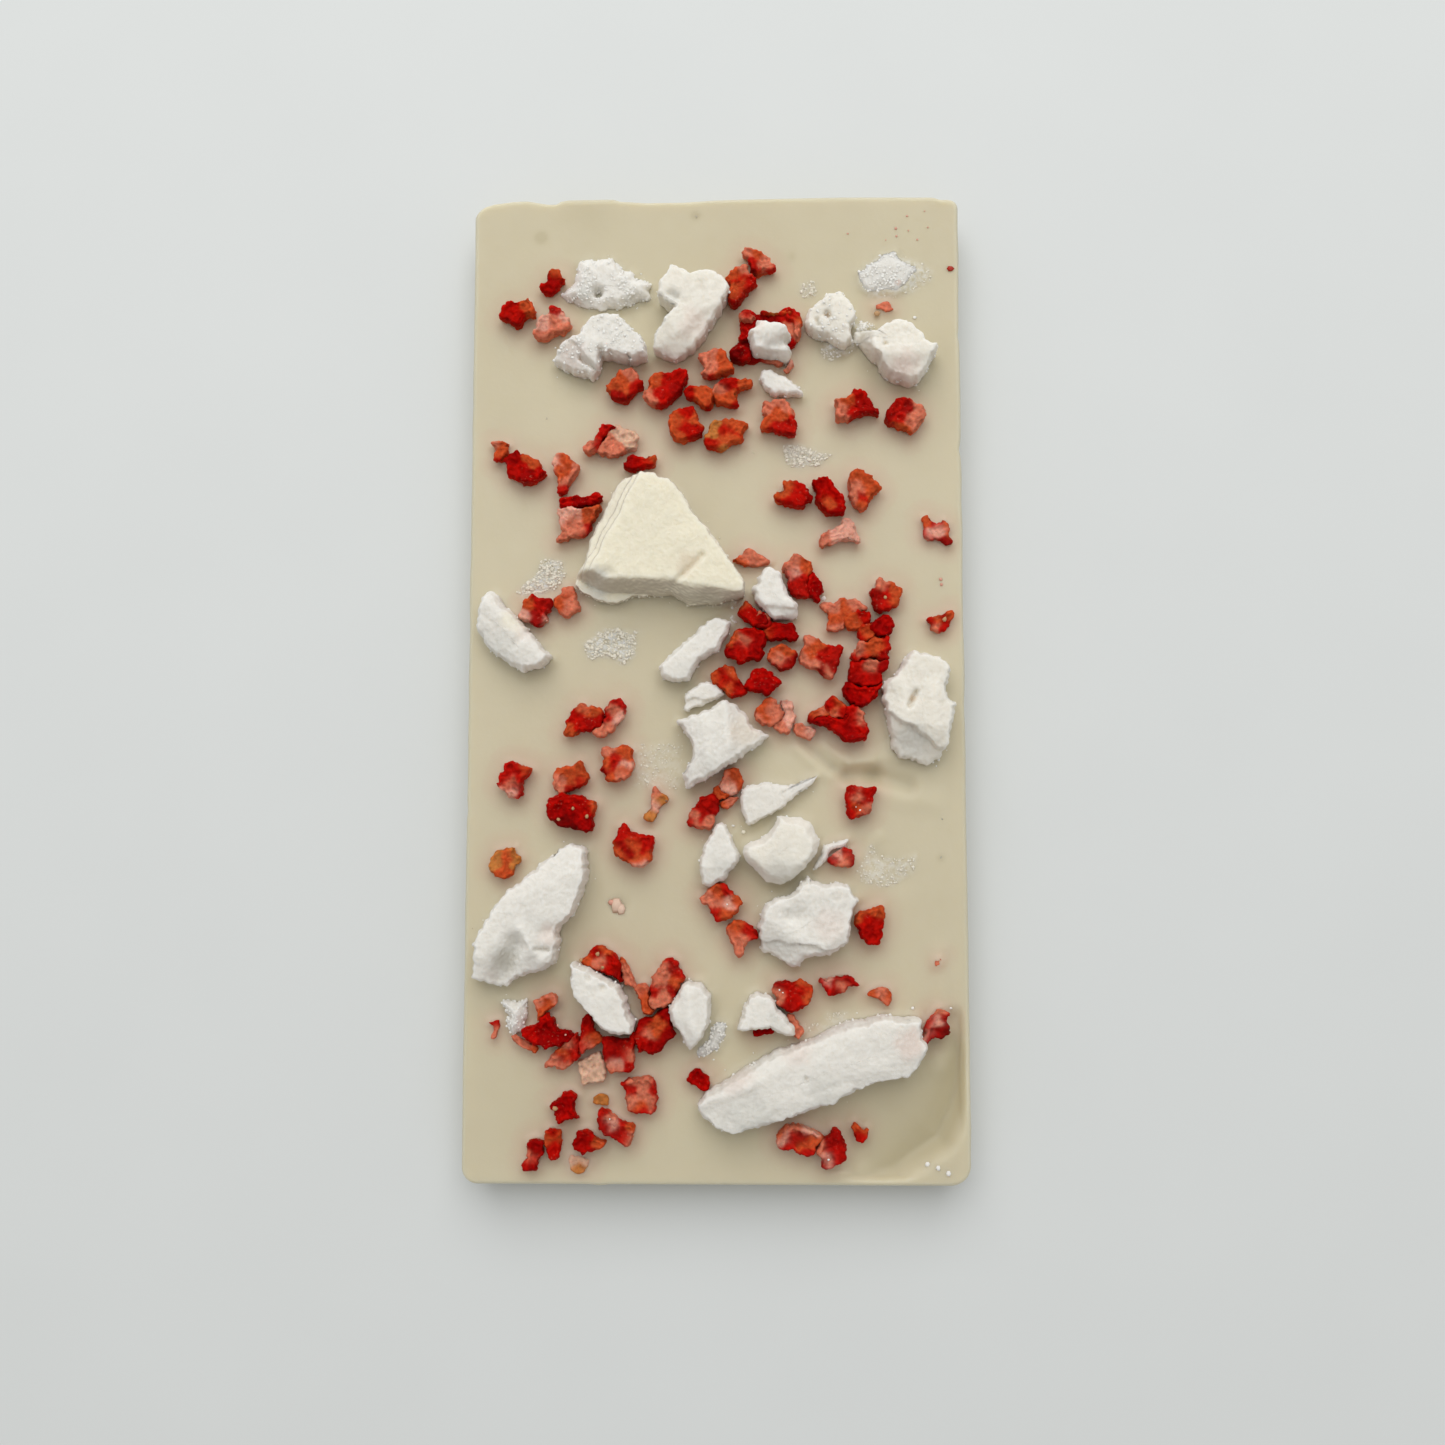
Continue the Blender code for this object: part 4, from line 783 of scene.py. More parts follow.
     "middle": (15.1, -60.0), "height": 6.6, "colour": "white", "breaks": [(112, 2.6, 0.5),
     (292, 2.2, 0.35), (200, 12, 0.3)], "rough": 0.5,
     "marks": [(-17.6, -4.3, -10.4, -1.4, 0.9, -0.35), (-10.4, -1.4, -2.9, 3.7, 1, -0.4),
     (-2.9, 3.7, 10.5, 8.7, 1.1, -0.4), (-1.6, -0.2, -1.6, -0.3, 0.35, 0.6),
     (5.5, -2, 5.5, -2.1, 0.35, 0.6), (-1.1, -2.5, 4.9, -0.5, 0.8, 0.25)],
     "tints": [("blush", -12.1, 0, 3, 0.4), ("blush", -3.1, 4.7, 3.5, 0.35), ("grey", -10.1, -6, 5, 0.6),
     ("grey", 0.9, -2.5, 4, 0.4), ("blush", 13.9, 5, 3, 0.5)]},
]


edgeCrumbFinish = {"number": 0.45, "spread": 0.28, "overlap": 0.22, "off": 0.1, "sizes": (0.18, 0.50),
                   "offSize": 0.7}


def edgeCrumbs(rim, share, seed):
    # x, y, z and size of crumbs that cling to the outline, and of fewer and finer ones that lie off it
    finish = edgeCrumbFinish
    draw = np.random.default_rng(seed)
    chosen = rim[draw.integers(0, len(rim), int(finish["number"] * share * len(rim)))]
    away = draw.exponential(finish["spread"], len(chosen)) - finish["overlap"]
    off = away > finish["off"]
    out = outward(rim[:, :2])
    nearest = ((chosen[:, None, :2] - rim[None, :, :2]) ** 2).sum(-1).argmin(1)
    places = chosen.copy()
    places[:, :2] += out[nearest] * away[:, None]
    climb = draw.uniform(0.1, 1.0, len(chosen))
    places[:, 2] = np.where(off, faceHeight + 0.04, faceHeight + climb * (chosen[:, 2] - faceHeight))
    sizes = draw.uniform(*finish["sizes"], len(chosen)) * np.where(off, finish["offSize"], 1)
    return np.column_stack([places, sizes])


def meringueMesh(number, piece):
    # height - fall * (distance beyond a break's line), the corner softened, and a step down at each ledge;
    # less depth * exp(-(d/width)^2) for each mark, times 1 - (1 - edge)(1 - gap/shoulder)^1.3 near the
    # outline; then lumps, cells and grain along the normal. The colour is the piece's own, with its tints
    # fading out over their radius (grey ones painted shade, blush and biscuit ones partly painted shade),
    # painted shade on steep walls, and a little dust
    finish = meringueFinish
    middle = np.array(piece["middle"])
    rough = piece.get("rough", 0.6)
    wobble, moreWobble, ragged, moreRagged = finish["outline"]
    ring = evenOutline(middle + piece["outline"], finish["spacing"], 2, wobble + moreWobble * rough,
                       ragged + moreRagged * rough, 100 + number)
    shoulder, edge = piece.get("shoulder", finish["shoulder"]), piece.get("edge", finish["edge"])

    def beyondLine(x, y, heading, distance, waver, seed):
        # how far a point lies beyond a line across the heading, at that distance from the middle, with waver
        turn = math.radians(heading)
        beyond = (x - middle[0]) * math.cos(turn) + (y - middle[1]) * math.sin(turn) - distance
        return beyond + waver[0] * softNoise(np.stack([x, y, 0 * x], -1), waver[1], seed)

    def heightAt(x, y, gap):
        flat = np.stack([x, y, 0 * x + number], -1)
        height = np.full(x.shape, float(piece["height"]))
        for heading, distance, fall in piece.get("breaks", []):
            soft = finish["breakSoftness"]
            beyond = beyondLine(x, y, heading, distance, finish["breakWaver"], number + round(heading))
            height -= fall * soft * np.log1p(np.exp(np.clip(beyond / soft, -60, 60)))
        for heading, distance, step in piece.get("ledges", []):
            soft = finish["ledgeSoftness"]
            beyond = beyondLine(x, y, heading, distance, finish["ledgeWaver"], number)
            height -= step * smooth(beyond, -soft, soft)
        height = np.maximum(height, finish["lowest"] * piece["height"])
        for mark in piece.get("marks", []):
            away = segmentDistance(x - middle[0], y - middle[1], mark)
            height -= mark[5] * np.exp(-(away / mark[4]) ** 2)
        swell, more, size = finish["swell"]
        swell = (swell + more * rough) * min(1, piece["height"] / 4)
        height += swell * layeredNoise(flat, size, 200 + number)
        waver, size = finish["shoulderWaver"]
        wide = shoulder * (1 + waver * softNoise(flat, size, 240 + number))
        near = np.clip(1 - gap / np.maximum(wide, 0.15), 0, 1)
        return np.maximum(height * (1 - (1 - edge) * near ** 1.3), -0.3)

    grid, topRows = toppingGrid(ring, middle, finish["spacing"], heightAt, -finish["sunk"], finish["tuck"])
    calm = min(1, 0.35 + piece["height"] / 4)       # low pieces are smoother
    cellPush, cellSize = finish["cells"]
    lumpPush, lumpSize = finish["lumps"]
    finePush, moreFine, fineSize = finish["fine"]
    cells = 0.55 - cellNoise(grid + 5.0 * number, cellSize, 40 + number)
    fine = layeredNoise(grid, fineSize, 60 + number, 1)
    lumps = layeredNoise(grid, lumpSize, 50 + number)
    push = calm * (rough * (cellPush * cells + lumpPush * lumps) + (finePush + moreFine * rough) * fine)
    grid = pushedOut(grid, push)
    crumbs = edgeCrumbs(grid[topRows - 1], piece.get("crumbs", 0.5 + 0.5 * rough), 130 + number)
    if "strewn" in piece:
        draw = np.random.default_rng(160 + number)
        top = grid[2:topRows].reshape(-1, 3)
        spots = top[draw.integers(0, len(top), piece["strewn"])]
        crumbs = np.vstack([crumbs, np.column_stack([spots, draw.uniform(*finish["strewn"], len(spots))])])
    co, quads, fans = closedMesh(grid, middle)
    colour = np.ones((len(co), 3)) * finish[piece["colour"]]
    x, y = co[:, 0], co[:, 1]
    flat = np.column_stack([x, y, co[:, 2] * 0.6])
    # tints: the grey ones are painted shade; blush and biscuit ones are partly painted shade, blush with
    # light from the fruit
    for kind, px, py, radius, strength in piece.get("tints", []):
        gap = np.hypot(x - middle[0] - px, y - middle[1] - py)
        waver, size = finish["tintWaver"]
        gap = gap + waver * radius * layeredNoise(flat, size, 70 + number)
        share = strength * (1 - smooth(gap, 0.3 * radius, 1.15 * radius))
        colour += (np.array(finish[kind]) - colour) * share[:, None]
    # painted shade on steep walls: their colour drawn towards the darker wall colour by the piece's wall
    # share
    steep = 1 - smooth(np.append(gridNormals(grid)[..., 2].ravel(), 1), 0.15, 0.75)
    share = piece.get("wall", 0.25) * steep * smooth(co[:, 2] - faceHeight, -0.2, 0.8)
    colour += (np.array(finish["sideShade"]) - colour) * share[:, None]
    strength, size = finish["dust"]
    colour *= (1 + strength * layeredNoise(flat, size, 90 + number))[:, None]
    return (co, quads, fans), colour, ring, crumbs


def meringueMaterial(name):
    # the tone with painted shade in its pores, softly lit through, and a bump of pores and grain
    shader = Shader(name)
    tone = shader.attribute("tone", "Color")
    grain, pores = shader.noise(2600.0, 2.0), shader.noise(900.0, 3.0)
    shader.use("Base Color", shader.mix(shader.spread(pores, 0.3, 0.6, 0.07, 0.0), tone,
                                        (0.66, 0.58, 0.46, 1)))
    shader.set(Roughness=0.92, Specular_IOR_Level=0.15, Subsurface_Weight=0.85, Subsurface_Scale=0.0017)
    shader.principled.inputs["Subsurface Radius"].default_value = (1.0, 0.96, 0.92)
    both = shader.mix(0.5, grain, pores)
    shader.bump(both, 0.55, 0.0004)
    return shader.material


# Strawberry dice

fruitFinish = {
    "spacing": 0.23, "tuck": 0.2, "sunk": 0.7, "shoulder": 0.3, "edge": 0.80, "dish": 0.14, "lean": 7.0,
    "outline": (1, 0.08, 0.36), "dishes": (0.5, 1.2),     # rounding, wobble, ragged; spread of the dishing
    "swell": (0.30, 1.9), "corner": (0.25, 0.95, 1.45), "least": 0.15,
    "crease": (0.13, 1.2), "fine": (0.22, 0.40), "sway": (0.5, 1.1), "spot": 0.42,
    "lighter": (0.14, 0.22), "browReach": 1.6,      # painted light on crease crests and fine lumps, painted shade between them; rows that the rim darkens
    # nearly black, deep, red, orange, salmon, pink, beige and tan
    "tones": {"K": (0.14, 0.0001, 0.0001), "D": (0.29, 0.0003, 0.0002), "R": (0.43, 0.002, 0.0005),
              "O": (0.53, 0.074, 0.018), "S": (0.61, 0.175, 0.10), "P": (0.71, 0.35, 0.26),
              "B": (0.68, 0.43, 0.30), "T": (0.50, 0.18, 0.042)},
    "blend": 0.05,                                  # share of each die's mean colour in all of it
    "brow": 0.12,                                   # how much darker the rim of the cut face is
    "foot": (0.36, 0.085, 0.030), "glow": 0.33,     # thin lower edges, lit through from the chocolate
}
# middle and rise in millimetres; outline and tones in tenths of one, from the middle
strawberryDice = [
    {"middle": (-25.9, 62.5), "rise": 2.6, "outline": [(-8, 2), (-17, -3), (-20, -7), (-19, -11),
     (-10, -16), (0, -17), (10, -11), (14, -2), (23, 4), (17, 6), (11, 21), (3, 23), (-6, 17)],
     "tones": {"D": [(5, 7), (3, -8)], "R": [(-11, -13), (16, -12)], "O": [(11, 17)]}},
    {"middle": (-30.5, 58), "rise": 3.2, "outline": [(-32, -14), (-8, -26), (-3, -26), (3, -11), (12, -8),
     (22, -9), (22, -3), (16, 5), (16, 9), (12, 12), (12, 19), (2, 15), (-6, 11), (-15, 15), (-24, 13),
     (-35, -8)],
     "tones": {"R": [(-17, 1), (-4, -12)], "D": [(-11, -23), (2, -26)], "O": [(12, 1), (20, -18)]}},
    {"middle": (-25.7, 56), "rise": 3, "outline": [(-7, 13), (-15, 11), (-22, 2), (-24, -10), (-29, -16),
     (-28, -22), (-20, -28), (-9, -26), (8, -16), (19, -16), (27, -8), (29, 1), (27, 7), (20, 8), (17, 18),
     (13, 26), (5, 28), (-3, 22)],
     "tones": {"R": [(8, 20)], "P": [(-15, 0), (16, 8)], "S": [(6, -2), (-10, -26), (24, -15)]}},
    {"middle": (6.9, 65.5), "rise": 2.6, "outline": [(-18, 8), (-15, 1), (-15, -13), (0, -21), (7, -14),
     (18, -15), (26, -13), (24, -6), (15, 1), (19, 6), (-18, 25), (-24, 23), (-26, 14)],
     "tones": {"S": [(-19, 17), (7, -4)], "O": [(-3, 12), (-3, -25)], "R": [(-8, -4), (18, -20), (-14, 1)],
     "D": [(-6, -14)]}},
    {"middle": (3.5, 62), "rise": 3, "outline": [(-15, 0), (-12, -1), (-13, -14), (-17, -26), (-9, -36),
     (0, -36), (20, -6), (32, 1), (19, 18), (14, 29), (5, 31), (-3, 26), (-18, 10)],
     "tones": {"O": [(-6, 14), (7, -2), (-6, -18)], "S": [(5, 24)], "R": [(1, 6), (18, -2), (-11, -41)],
     "D": [(12, -7), (-3, -36), (3, -25)]}},
    {"middle": (7.6, 54.4), "rise": 1.6, "outline": [(-39, 23), (-35, 13), (-34, 2), (-39, -7), (-37, -15),
     (-54, -28), (-51, -44), (-39, -48), (-15, -49), (3, -47), (24, -55), (38, -44), (38, -31), (51, -18),
     (56, -7), (60, 18), (56, 30), (48, 36), (40, 40), (32, 36), (24, 30), (-5, 28), (-15, 31), (-22, 36),
     (-33, 38), (-39, 34)],
     "tones": {"R": [(-34, 22), (50, 27), (40, -26)], "D": [(3, 24), (-37, -39), (-26, -13)], "S": [(53, 1),
     (35, -49)]}},
    {"middle": (4.9, 56.7), "rise": 3, "outline": [(-12, -1), (-8, -6), (8, -10), (14, -3), (13, 0), (5, 8),
     (-6, 9), (-12, 5)],
     "tones": {"S": [(-7, -7), (6, -9)], "R": [(1, 1)]}},
    {"middle": (9.8, 57.2), "rise": 2.6, "outline": [(-27, -4), (-11, -2), (13, -3), (23, -1), (25, 5),
     (18, 9), (-1, -2), (-14, 1), (-28, 1)],
     "tones": {"D": [(-19, -7), (2, -9)], "T": [(-9, -9)], "R": [(12, -5)], "O": [(18, 3)]}},
    {"middle": (12.2, 55.8), "rise": 2.8, "outline": [(-14, 10), (-11, 2), (-2, 0), (2, -8), (0, -23),
     (8, -30), (13, 0), (9, 11), (2, 18), (-6, 22)],
     "tones": {"R": [(-9, 6), (1, 8), (-6, -2)], "S": [(4, -10), (4, -26)], "O": [(7, 1)]}},
    {"middle": (11.9, 52.3), "rise": 2.2, "outline": [(3, 8), (-3, 2), (-7, 1), (-5, -7), (3, -2), (7, -1)],
     "tones": {"R": [(-1, -4)], "D": [(-6, -4)]}},
    {"middle": (11.5, 48.8), "rise": 1.8, "outline": [(-2, 2), (-7, -4), (-4, -12), (1, -9), (4, -1),
     (9, 5), (1, 18)],
     "tones": {"S": [(1, -2)], "P": [(0, 8)]}},
    {"middle": (4.7, 53.5), "rise": 2.8, "outline": [(-10, 1), (-8, -7), (0, -8), (9, -7), (9, 0), (6, 12),
     (-5, 12)],
     "tones": {"D": [(2, -3)], "R": [(-5, 0)]}},
    {"middle": (4.2, 50.5), "rise": 3.2, "outline": [(-17, -5), (-3, -10), (11, -10), (15, 1), (14, 12),
     (0, 13), (-20, 2)],
     "tones": {"K": [(-2, -5)], "D": [(5, 8)], "R": [(9, -16)]}},
    {"middle": (26.5, 58.6), "rise": 0.8, "outline": [(-11, -2), (-3, -2), (3, -8), (16, -4), (5, 12),
     (-12, 3)],
     "tones": {"S": [(-3, 0), (7, -3)]},
     "seeds": [("seed", -1, -1, 1.3)]},
    {"middle": (-14.2, 45.9), "rise": 3.4, "outline": [(-23, -15), (-19, -23), (-7, -28), (3, -29),
     (14, -19), (27, 0), (22, 5), (23, 12), (19, 20), (9, 23), (-1, 21), (-9, 22), (-13, 12), (-19, 8),
     (-29, -9)],
     "tones": {"O": [(-15, 1), (1, -5)], "S": [(9, 11)], "D": [(-7, -23), (9, -31)], "R": [(19, -10)]}},
    {"middle": (-7.8, 45.5), "rise": 3.6, "outline": [(-24, 1), (-26, -7), (-33, -12), (-32, -20),
     (-21, -29), (-7, -35), (0, -31), (27, -7), (25, 1), (32, 6), (37, 14), (31, 24), (21, 24), (9, 20),
     (-4, 21), (-19, 19), (-24, 14)],
     "tones": {"O": [(-16, 8)], "R": [(5, 9), (29, 14), (-5, -14), (3, -33)], "S": [(-26, -25)],
     "D": [(18, -9)]}},
    {"middle": (0, 48.9), "rise": 3.2, "outline": [(-18, 1), (-16, -5), (-24, -16), (-11, -22), (15, -14),
     (29, -8), (28, 0), (22, 4), (11, 25), (-2, 25), (-29, 15)],
     "tones": {"S": [(-18, 5), (-8, -5), (-23, -25)], "O": [(11, -3), (6, -16)], "R": [(-5, -29)]}},
    {"middle": (-2.3, 44.1), "rise": 3.2, "outline": [(-23, -2), (-5, -10), (4, -21), (9, -23), (20, -15),
     (22, 3), (15, 11), (4, 16), (-7, 13), (-17, 14), (-25, 9)],
     "tones": {"R": [(-19, 2)], "O": [(2, -2), (-3, -12), (18, -7)], "D": [(13, -25)]}},
    {"middle": (2.6, 44.8), "rise": 3, "outline": [(-32, -5), (-27, -19), (-3, -24), (9, -25), (7, -12),
     (9, -1), (25, 4), (32, 8), (31, 16), (-1, 19), (-10, 19), (-19, 13), (-27, 5)],
     "tones": {"D": [(-10, 6), (-20, 16)], "R": [(0, 14), (3, -31)], "O": [(24, 10), (-7, -16), (-20, -16)],
     "S": [(-20, 1)]}},
    {"middle": (-4.6, 39.2), "rise": 3.2, "outline": [(-25, 12), (-25, 0), (-27, -4), (-24, -13),
     (-16, -22), (-2, -27), (8, -21), (24, -15), (28, -5), (24, 1), (18, 5), (21, 12), (12, 29), (-1, 29),
     (-22, 22)],
     "tones": {"R": [(2, 19), (-1, -5), (10, -13)], "O": [(-11, 8), (-14, -19), (15, 9)],
     "D": [(20, -16)]}},
    {"middle": (1.5, 38), "rise": 3, "outline": [(-27, -1), (-33, -9), (-30, -21), (-5, -27), (8, -17),
     (27, -11), (26, 0), (37, 13), (27, 18), (11, 21), (-15, 21), (-23, 16)],
     "tones": {"O": [(11, 13), (1, -9)], "R": [(4, 4), (-12, -22)], "T": [(-7, -27), (-20, 8)]}},
    {"middle": (9.7, 40.3), "rise": 3.2, "outline": [(-23, 10), (-18, 2), (-22, -2), (-28, -18), (-10, -19),
     (6, -23), (17, -30), (27, -27), (30, -18), (30, -7), (24, 1), (16, 27), (3, 29), (-10, 27), (-22, 29),
     (-25, 21)],
     "tones": {"S": [(-18, 18), (13, 21)], "O": [(0, 5), (-21, -13)], "R": [(-10, -19), (18, -21)],
     "D": [(16, -30)]}},
    {"middle": (22.1, 42.1), "rise": 3.4, "outline": [(-32, -18), (-20, -21), (-6, -19), (12, -10),
     (35, -14), (34, -9), (26, -2), (11, 24), (2, 25), (-8, 23), (-14, 14), (-34, 8)],
     "tones": {"S": [(-28, -6), (-25, -24)], "O": [(-17, 5)], "R": [(-11, -8), (4, 15)], "D": [(7, 2),
     (15, -14)]}},
    {"middle": (29.4, 40.8), "rise": 3.4, "outline": [(-26, -13), (0, -25), (12, -32), (30, -9), (32, 1),
     (25, 14), (11, 20), (-10, 27), (-20, 18), (-26, 6), (-30, -6)],
     "tones": {"D": [(-22, -3), (4, 6)], "R": [(-11, 15), (-6, -9)], "S": [(20, 5), (12, -14), (23, -11)],
     "O": [(-6, -27)]}},
    {"middle": (-15, 36.8), "rise": 2.2, "outline": [(-27, -4), (-34, -14), (-31, -20), (1, -23), (7, -16),
     (19, -13), (26, -7), (28, 8), (23, 16), (8, 23), (-5, 30), (-17, 20)],
     "tones": {"B": [(19, 3), (3, 16)], "S": [(-8, -5), (-18, -18)]}},
    {"middle": (-18.4, 37.1), "rise": 2.8, "outline": [(-21, -19), (-14, -22), (-5, -18), (2, -12), (6, -2),
     (20, 15), (32, 20), (21, 24), (8, 23), (-2, 7), (-5, -2), (-17, -5), (-22, -13)],
     "tones": {"R": [(6, 6), (1, -12)], "S": [(-12, -17), (-7, -7)]}},
    {"middle": (-11.9, 33.6), "rise": 2.8, "outline": [(-23, -9), (-6, -17), (2, -12), (23, -6), (27, 7),
     (26, 10), (9, 5), (1, 9), (-10, 11), (-20, 8), (-24, -1)],
     "tones": {"D": [(-15, -3), (-4, -17)], "R": [(6, -1), (17, -11)], "O": [(20, 2)]}},
    {"middle": (-33.5, 35.6), "rise": 2.4, "outline": [(-8, 1), (-13, -15), (-5, -17), (3, -12), (8, -5),
     (11, 4), (6, 5), (13, 11), (7, 14), (-17, 12)],
     "tones": {"S": [(-12, 8)], "O": [(4, 8), (-1, -4)], "R": [(1, -17)]}},
    {"middle": (-29.8, 32.6), "rise": 3.2, "outline": [(-26, 0), (-29, -7), (-25, -13), (-16, -16),
     (-3, -24), (11, -26), (21, -22), (27, -13), (35, -8), (27, -4), (22, 11), (15, 13), (7, 20), (-6, 21),
     (-10, 29), (-22, 22), (-30, 11)],
     "tones": {"D": [(-18, 13), (8, -15)], "R": [(-8, 0), (16, -26), (29, -15), (-21, -10)],
     "O": [(13, 11)]}},
    {"middle": (-23.6, 32), "rise": 2.8, "outline": [(-17, 11), (-16, 0), (-11, -5), (-8, -12), (-11, -22),
     (-9, -33), (-4, -37), (4, -31), (15, -10), (22, 0), (24, 10), (18, 10), (13, 19), (6, 28), (-2, 30),
     (-12, 27), (-16, 19)],
     "tones": {"O": [(0, 20), (-2, -1)], "P": [(-12, 18)], "S": [(19, -1), (5, -11)], "R": [(0, -35)]}},
    {"middle": (-21.3, 27.5), "rise": 3, "outline": [(-30, -9), (-25, -11), (8, -9), (32, -4), (40, 4),
     (30, 11), (6, 3), (-1, 8), (-26, 5), (-31, -2)],
     "tones": {"R": [(-15, -3), (25, -3), (38, -3)], "D": [(-2, 2), (14, -11)]}},
    {"middle": (-22.2, 23.7), "rise": 2.8, "outline": [(-22, 5), (-16, -9), (-24, -22), (-23, -26),
     (-12, -25), (14, -18), (25, -11), (31, 2), (45, 28), (12, 23), (-6, 26), (-24, 25)],
     "tones": {"P": [(-14, 12), (-3, 17)], "S": [(-1, 4), (-9, -22), (12, -15)], "O": [(28, 12)],
     "R": [(28, -7), (18, -20)]}},
    {"middle": (12, 28.3), "rise": 3.2, "outline": [(-24, -12), (-14, -17), (7, -23), (19, -20), (23, -12),
     (30, -11), (26, 2), (20, 14), (9, 19), (-4, 21), (-15, 20), (-12, 10), (-14, 5), (-24, 3), (-28, -3)],
     "tones": {"O": [(-7, 14), (-18, -1)], "R": [(3, 9), (-10, -14), (11, -9)], "D": [(23, -12),
     (-15, -22)]}},
    {"middle": (17.2, 28.2), "rise": 3.4, "outline": [(-21, 13), (-14, 3), (-16, -1), (-17, -11), (0, -31),
     (13, -32), (27, -31), (28, -12), (25, -5), (10, 13), (8, 23), (-4, 28), (-13, 26), (-21, 20)],
     "tones": {"D": [(-15, 18), (-10, -6), (-4, -29), (19, -32)], "R": [(-4, 23), (6, -1), (22, -14)],
     "O": [(2, -14)]}},
    {"middle": (22.8, 28.9), "rise": 3, "outline": [(-16, -15), (-13, -25), (-5, -33), (2, -31), (10, -21),
     (18, -7), (28, 0), (28, 5), (14, 15), (17, 22), (1, 28), (-9, 30), (-18, 26), (-22, 15), (-19, 5),
     (-23, -10)],
     "tones": {"O": [(-10, 19), (8, 12), (13, -4), (-5, -25)], "S": [(-16, 4), (-2, 0), (-10, -36),
     (-18, -15)], "R": [(0, -13)]}},
    {"middle": (18.7, 21.7), "rise": 2.4, "outline": [(-24, -16), (-20, -18), (4, -8), (17, -6), (35, -9),
     (24, 26), (11, 26), (2, 15), (-24, 3), (-26, -7)],
     "tones": {"P": [(21, 6), (2, 1), (23, -7)], "S": [(-19, -7)]}},
    {"middle": (34.7, 22.4), "rise": 1.4, "outline": [(-22, 7), (-24, -6), (-18, -13), (-8, -12), (3, -14),
     (12, -21), (20, -20), (23, -14), (15, -5), (18, 5), (16, 17), (7, 19), (-3, 12), (-19, 25), (-26, 21)],
     "tones": {"O": [(-21, 17), (13, 12), (14, -1)], "R": [(-4, 10), (-24, -1), (-11, -14)], "P": [(-7, -1),
     (4, 3), (-16, -2)], "D": [(14, -16), (6, -17)]},
     "seeds": [("brown", -0.5, 0.1, 0.4)]},
    {"middle": (5.5, 18.1), "rise": 1.6, "outline": [(-10, -10), (3, -11), (29, -6), (31, 0), (-4, 19),
     (-16, 9), (-29, 0)],
     "tones": {"S": [(-5, 2), (19, -3)], "O": [(-16, -6)]}},
    {"middle": (12.7, 15.7), "rise": 3.4, "outline": [(-16, -5), (-11, -32), (3, -37), (17, -35), (15, -16),
     (16, -4), (23, 6), (21, 18), (-1, 32), (-9, 31), (-11, 23), (-19, 15), (-23, 8)],
     "tones": {"S": [(-1, 22), (-14, 7)], "O": [(12, 12)], "R": [(-12, -1), (1, -14), (4, -35)],
     "P": [(-9, 1)], "D": [(-4, -33)]}},
    {"middle": (15.4, 13.6), "rise": 2.8, "outline": [(-11, 16), (-13, 3), (-10, -14), (5, -24), (8, -11),
     (13, -4), (10, 6), (-4, 28)],
     "tones": {"D": [(4, 3), (-4, -13)], "R": [(-4, 18)]}},
    {"middle": (26.2, 12.5), "rise": 3.2, "outline": [(-21, -14), (-16, -24), (-8, -29), (6, -24),
     (21, -13), (23, -5), (27, 3), (25, 10), (14, 16), (2, 19), (-7, 26), (-15, 23), (-14, 11), (-21, 7),
     (-22, -3)],
     "tones": {"S": [(-8, 18)], "O": [(16, 8), (16, -11)], "D": [(-16, -3), (-10, -24)], "R": [(0, 0),
     (3, -21)]},
     "seeds": [("seed", -0.1, -0.6, 1.1)]},
    {"middle": (19.4, 9.7), "rise": 2, "outline": [(-22, 1), (-17, -12), (-22, -26), (-11, -29), (1, -29),
     (7, -20), (10, -6), (38, 4), (41, 9), (33, 16), (17, 23), (1, 23), (-12, 15), (-25, 19), (-36, 13)],
     "tones": {"S": [(-15, 9), (24, 14), (-10, -23)], "O": [(9, 6), (-12, -7)]}},
    {"middle": (22, 8.7), "rise": 2.8, "outline": [(-20, -4), (-17, -14), (-5, -17), (17, -7), (22, 2),
     (18, 11), (9, 14), (-6, 12), (-17, 6)],
     "tones": {"O": [(-10, -6), (-2, -14)], "R": [(8, 4), (14, -4)]}},
    {"middle": (25.8, 7.6), "rise": 3.2, "outline": [(-18, -7), (-9, -15), (3, -17), (13, -12), (16, -4),
     (16, 7), (8, 17), (0, 15), (-11, 8), (-20, 6)],
     "tones": {"R": [(7, 9), (-9, -14)], "D": [(-6, -1), (9, -9)]}},
    {"middle": (23.2, 6.7), "rise": 2.6, "outline": [(-13, -6), (-7, -17), (1, -14), (10, -9), (13, 0),
     (10, 12), (2, 15), (-8, 11), (-13, 6)],
     "tones": {"O": [(-1, 4), (4, -7)], "R": [(-10, -12), (-4, 12)]}},
    {"middle": (24.3, 3.8), "rise": 3.4, "outline": [(-35, -10), (-31, -17), (-5, -10), (11, -15),
     (23, -15), (22, -5), (26, 8), (23, 22), (-3, 16), (-12, 11), (-21, 11)],
     "tones": {"O": [(8, 8), (-7, -5)], "R": [(19, 13), (-15, -10), (-33, -16)], "S": [(-22, -1)],
     "D": [(19, -10)]}},
    {"middle": (23.6, 0.5), "rise": 3.2, "outline": [(-29, 6), (-33, -11), (-24, -19), (0, -24), (16, -21),
     (20, -15), (17, -3), (27, 6), (29, 17), (16, 14), (2, 20), (-13, 16), (-29, 15)],
     "tones": {"R": [(-16, 7), (0, -6), (8, -19)], "S": [(4, 8)], "D": [(16, 5), (-26, -11)]}},
    {"middle": (22.7, -2.7), "rise": 3.6, "outline": [(-32, -2), (-18, -19), (-7, -22), (3, -20), (9, -13),
     (19, -6), (21, 4), (27, 7), (29, 15), (22, 9), (6, 6), (-17, 11), (-26, 17), (-33, 8)],
     "tones": {"D": [(-25, -4), (-5, -14)], "R": [(-10, 2), (11, -1)]}},
